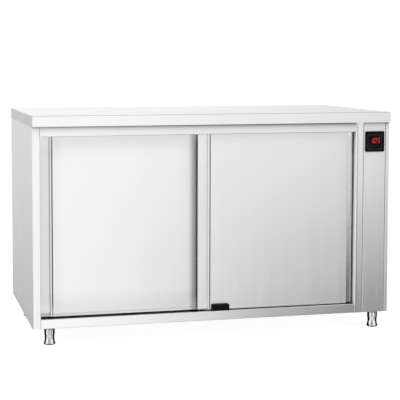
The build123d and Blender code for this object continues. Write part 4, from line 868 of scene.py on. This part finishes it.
# Each segment's middle, and whether it stands upright.
SEGMENTS = {
    "a": (DIGIT_WIDTH / 2, DIGIT_HEIGHT, False),
    "b": (DIGIT_WIDTH, 1.5 * HALF, True),
    "c": (DIGIT_WIDTH, 0.5 * HALF, True),
    "d": (DIGIT_WIDTH / 2, 0.0, False),
    "e": (0.0, 0.5 * HALF, True),
    "f": (0.0, 1.5 * HALF, True),
    "g": (DIGIT_WIDTH / 2, HALF, False),
}


def segment(length):
    """A bar of a figure: a thin slab with pointed ends, lying along X at the origin."""
    bpy.ops.object.select_all(action="DESELECT")
    bpy.ops.mesh.primitive_cube_add(size=1)
    bar = bpy.context.object
    bpy.ops.object.mode_set(mode="EDIT")
    bpy.ops.transform.resize(value=(length - STROKE, INK, STROKE))
    for end in (-1, 1):
        select_only(bar, "FACE", lambda face: face.normal.x * end > 0.9)
        bpy.ops.mesh.extrude_region_move(TRANSFORM_OT_translate={"value": (end * POINT_LENGTH, 0, 0)})
        bpy.ops.transform.resize(value=(1, 1, POINT_SHARE))
    bpy.ops.object.mode_set(mode="OBJECT")
    return bar


across = segment(DIGIT_WIDTH - GAP)
upright = segment(HALF - GAP)
upright.data.transform(Matrix.Rotation(math.radians(90), 4, "Y"))
bars = []
for number, lit_segments in enumerate(FIGURES):
    corner = (FIGURES_LEFT + DIGIT_PITCH * number, GLASS_FRONT - INK / 2, FIGURES_BOTTOM)
    for letter in lit_segments:
        x, z, stands = SEGMENTS[letter]
        place = Matrix.Translation(corner) @ SLANT @ Matrix.Translation((x, 0, z))
        bars.append(placed_copy(upright if stands else across, place))
figures = joined("display_figures", bars)
bpy.data.objects.remove(across)
bpy.data.objects.remove(upright)
figures.data.materials.append(lit_red)
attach(figures, "cabinet")

# A border and the signs of the touch keys (set, minus, plus, power) are printed on the glass.
BORDER_LEFT, BORDER_RIGHT, BORDER_LOW, BORDER_HIGH = 0.6085, 0.6665, 0.7060, 0.7620
BORDER_LINE, KEY_LINE = 0.0005, 0.0004
KEY_SIZE, KEY_HEIGHT = 0.0030, 0.7175
SIGN_LINE = 1.5 * KEY_LINE
ROUNDED_SHARE = 0.45
SET_KEY, MINUS_KEY, PLUS_KEY, POWER_KEY = 0.6236, 0.6346, 0.6446, 0.6530


def printed_outline(x, z, width, height, line):
    """A rectangular line printed on the glass, centred on x and z."""
    bpy.ops.object.select_all(action="DESELECT")
    bpy.ops.mesh.primitive_plane_add(size=1)
    outline = bpy.context.object
    bpy.ops.object.mode_set(mode="EDIT")
    bpy.ops.transform.rotate(value=math.pi / 2, orient_axis="X", center_override=(0, 0, 0))
    bpy.ops.transform.resize(value=(width, 1, height), center_override=(0, 0, 0))
    bpy.ops.mesh.inset(thickness=line)
    bpy.ops.mesh.delete(type="FACE")
    bpy.ops.mesh.select_all(action="SELECT")
    bpy.ops.mesh.extrude_region_move(TRANSFORM_OT_translate={"value": (0, -INK, 0)})
    bpy.ops.mesh.select_all(action="SELECT")
    bpy.ops.mesh.normals_make_consistent(inside=False)
    bpy.ops.transform.translate(value=(x, GLASS_FRONT, z))
    bpy.ops.object.mode_set(mode="OBJECT")
    return outline


def printed_stroke(x, z, width, height):
    """A short stroke with rounded ends printed on the glass, centred on x and z."""
    bpy.ops.object.select_all(action="DESELECT")
    bpy.ops.mesh.primitive_cube_add(size=1)
    stroke = bpy.context.object
    bpy.ops.object.mode_set(mode="EDIT")
    bpy.ops.transform.resize(value=(width, INK, height), center_override=(0, 0, 0))
    points = stroke.data.vertices
    select_only(
        stroke, "EDGE",
        lambda edge: abs(points[edge.vertices[0]].co.y - points[edge.vertices[1]].co.y) > INK / 2,
    )
    bpy.ops.mesh.bevel(offset=min(width, height) * ROUNDED_SHARE, segments=3, affect="EDGES")
    bpy.ops.mesh.select_all(action="SELECT")
    bpy.ops.transform.translate(value=(x, GLASS_FRONT - INK / 2, z))
    bpy.ops.object.mode_set(mode="OBJECT")
    return stroke


marks = [
    printed_outline(
        (BORDER_LEFT + BORDER_RIGHT) / 2, (BORDER_LOW + BORDER_HIGH) / 2,
        BORDER_RIGHT - BORDER_LEFT, BORDER_HIGH - BORDER_LOW, BORDER_LINE,
    ),
    printed_outline(SET_KEY, KEY_HEIGHT, KEY_SIZE, KEY_SIZE, KEY_LINE),
    printed_stroke(MINUS_KEY, KEY_HEIGHT, KEY_SIZE, SIGN_LINE),
    printed_stroke(PLUS_KEY, KEY_HEIGHT, KEY_SIZE, SIGN_LINE),
    printed_stroke(PLUS_KEY, KEY_HEIGHT, SIGN_LINE, KEY_SIZE),
    printed_stroke(POWER_KEY, KEY_HEIGHT + KEY_SIZE / 2, SIGN_LINE, KEY_SIZE / 2),
]
bpy.ops.object.select_all(action="DESELECT")
bpy.ops.mesh.primitive_torus_add(
    major_segments=28, minor_segments=8, major_radius=KEY_SIZE / 2, minor_radius=KEY_LINE / 2
)
power_ring = bpy.context.object
bpy.ops.object.mode_set(mode="EDIT")
bpy.ops.transform.rotate(value=math.pi / 2, orient_axis="X", center_override=(0, 0, 0))
bpy.ops.transform.resize(value=(1, INK / KEY_LINE, 1), center_override=(0, 0, 0))
bpy.ops.transform.translate(value=(POWER_KEY, GLASS_FRONT - INK / 2, KEY_HEIGHT))
bpy.ops.object.mode_set(mode="OBJECT")
printed_marks = joined("display_marks", [*marks, power_ring])
printed_marks.data.materials.append(grey_print)
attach(printed_marks, "cabinet")
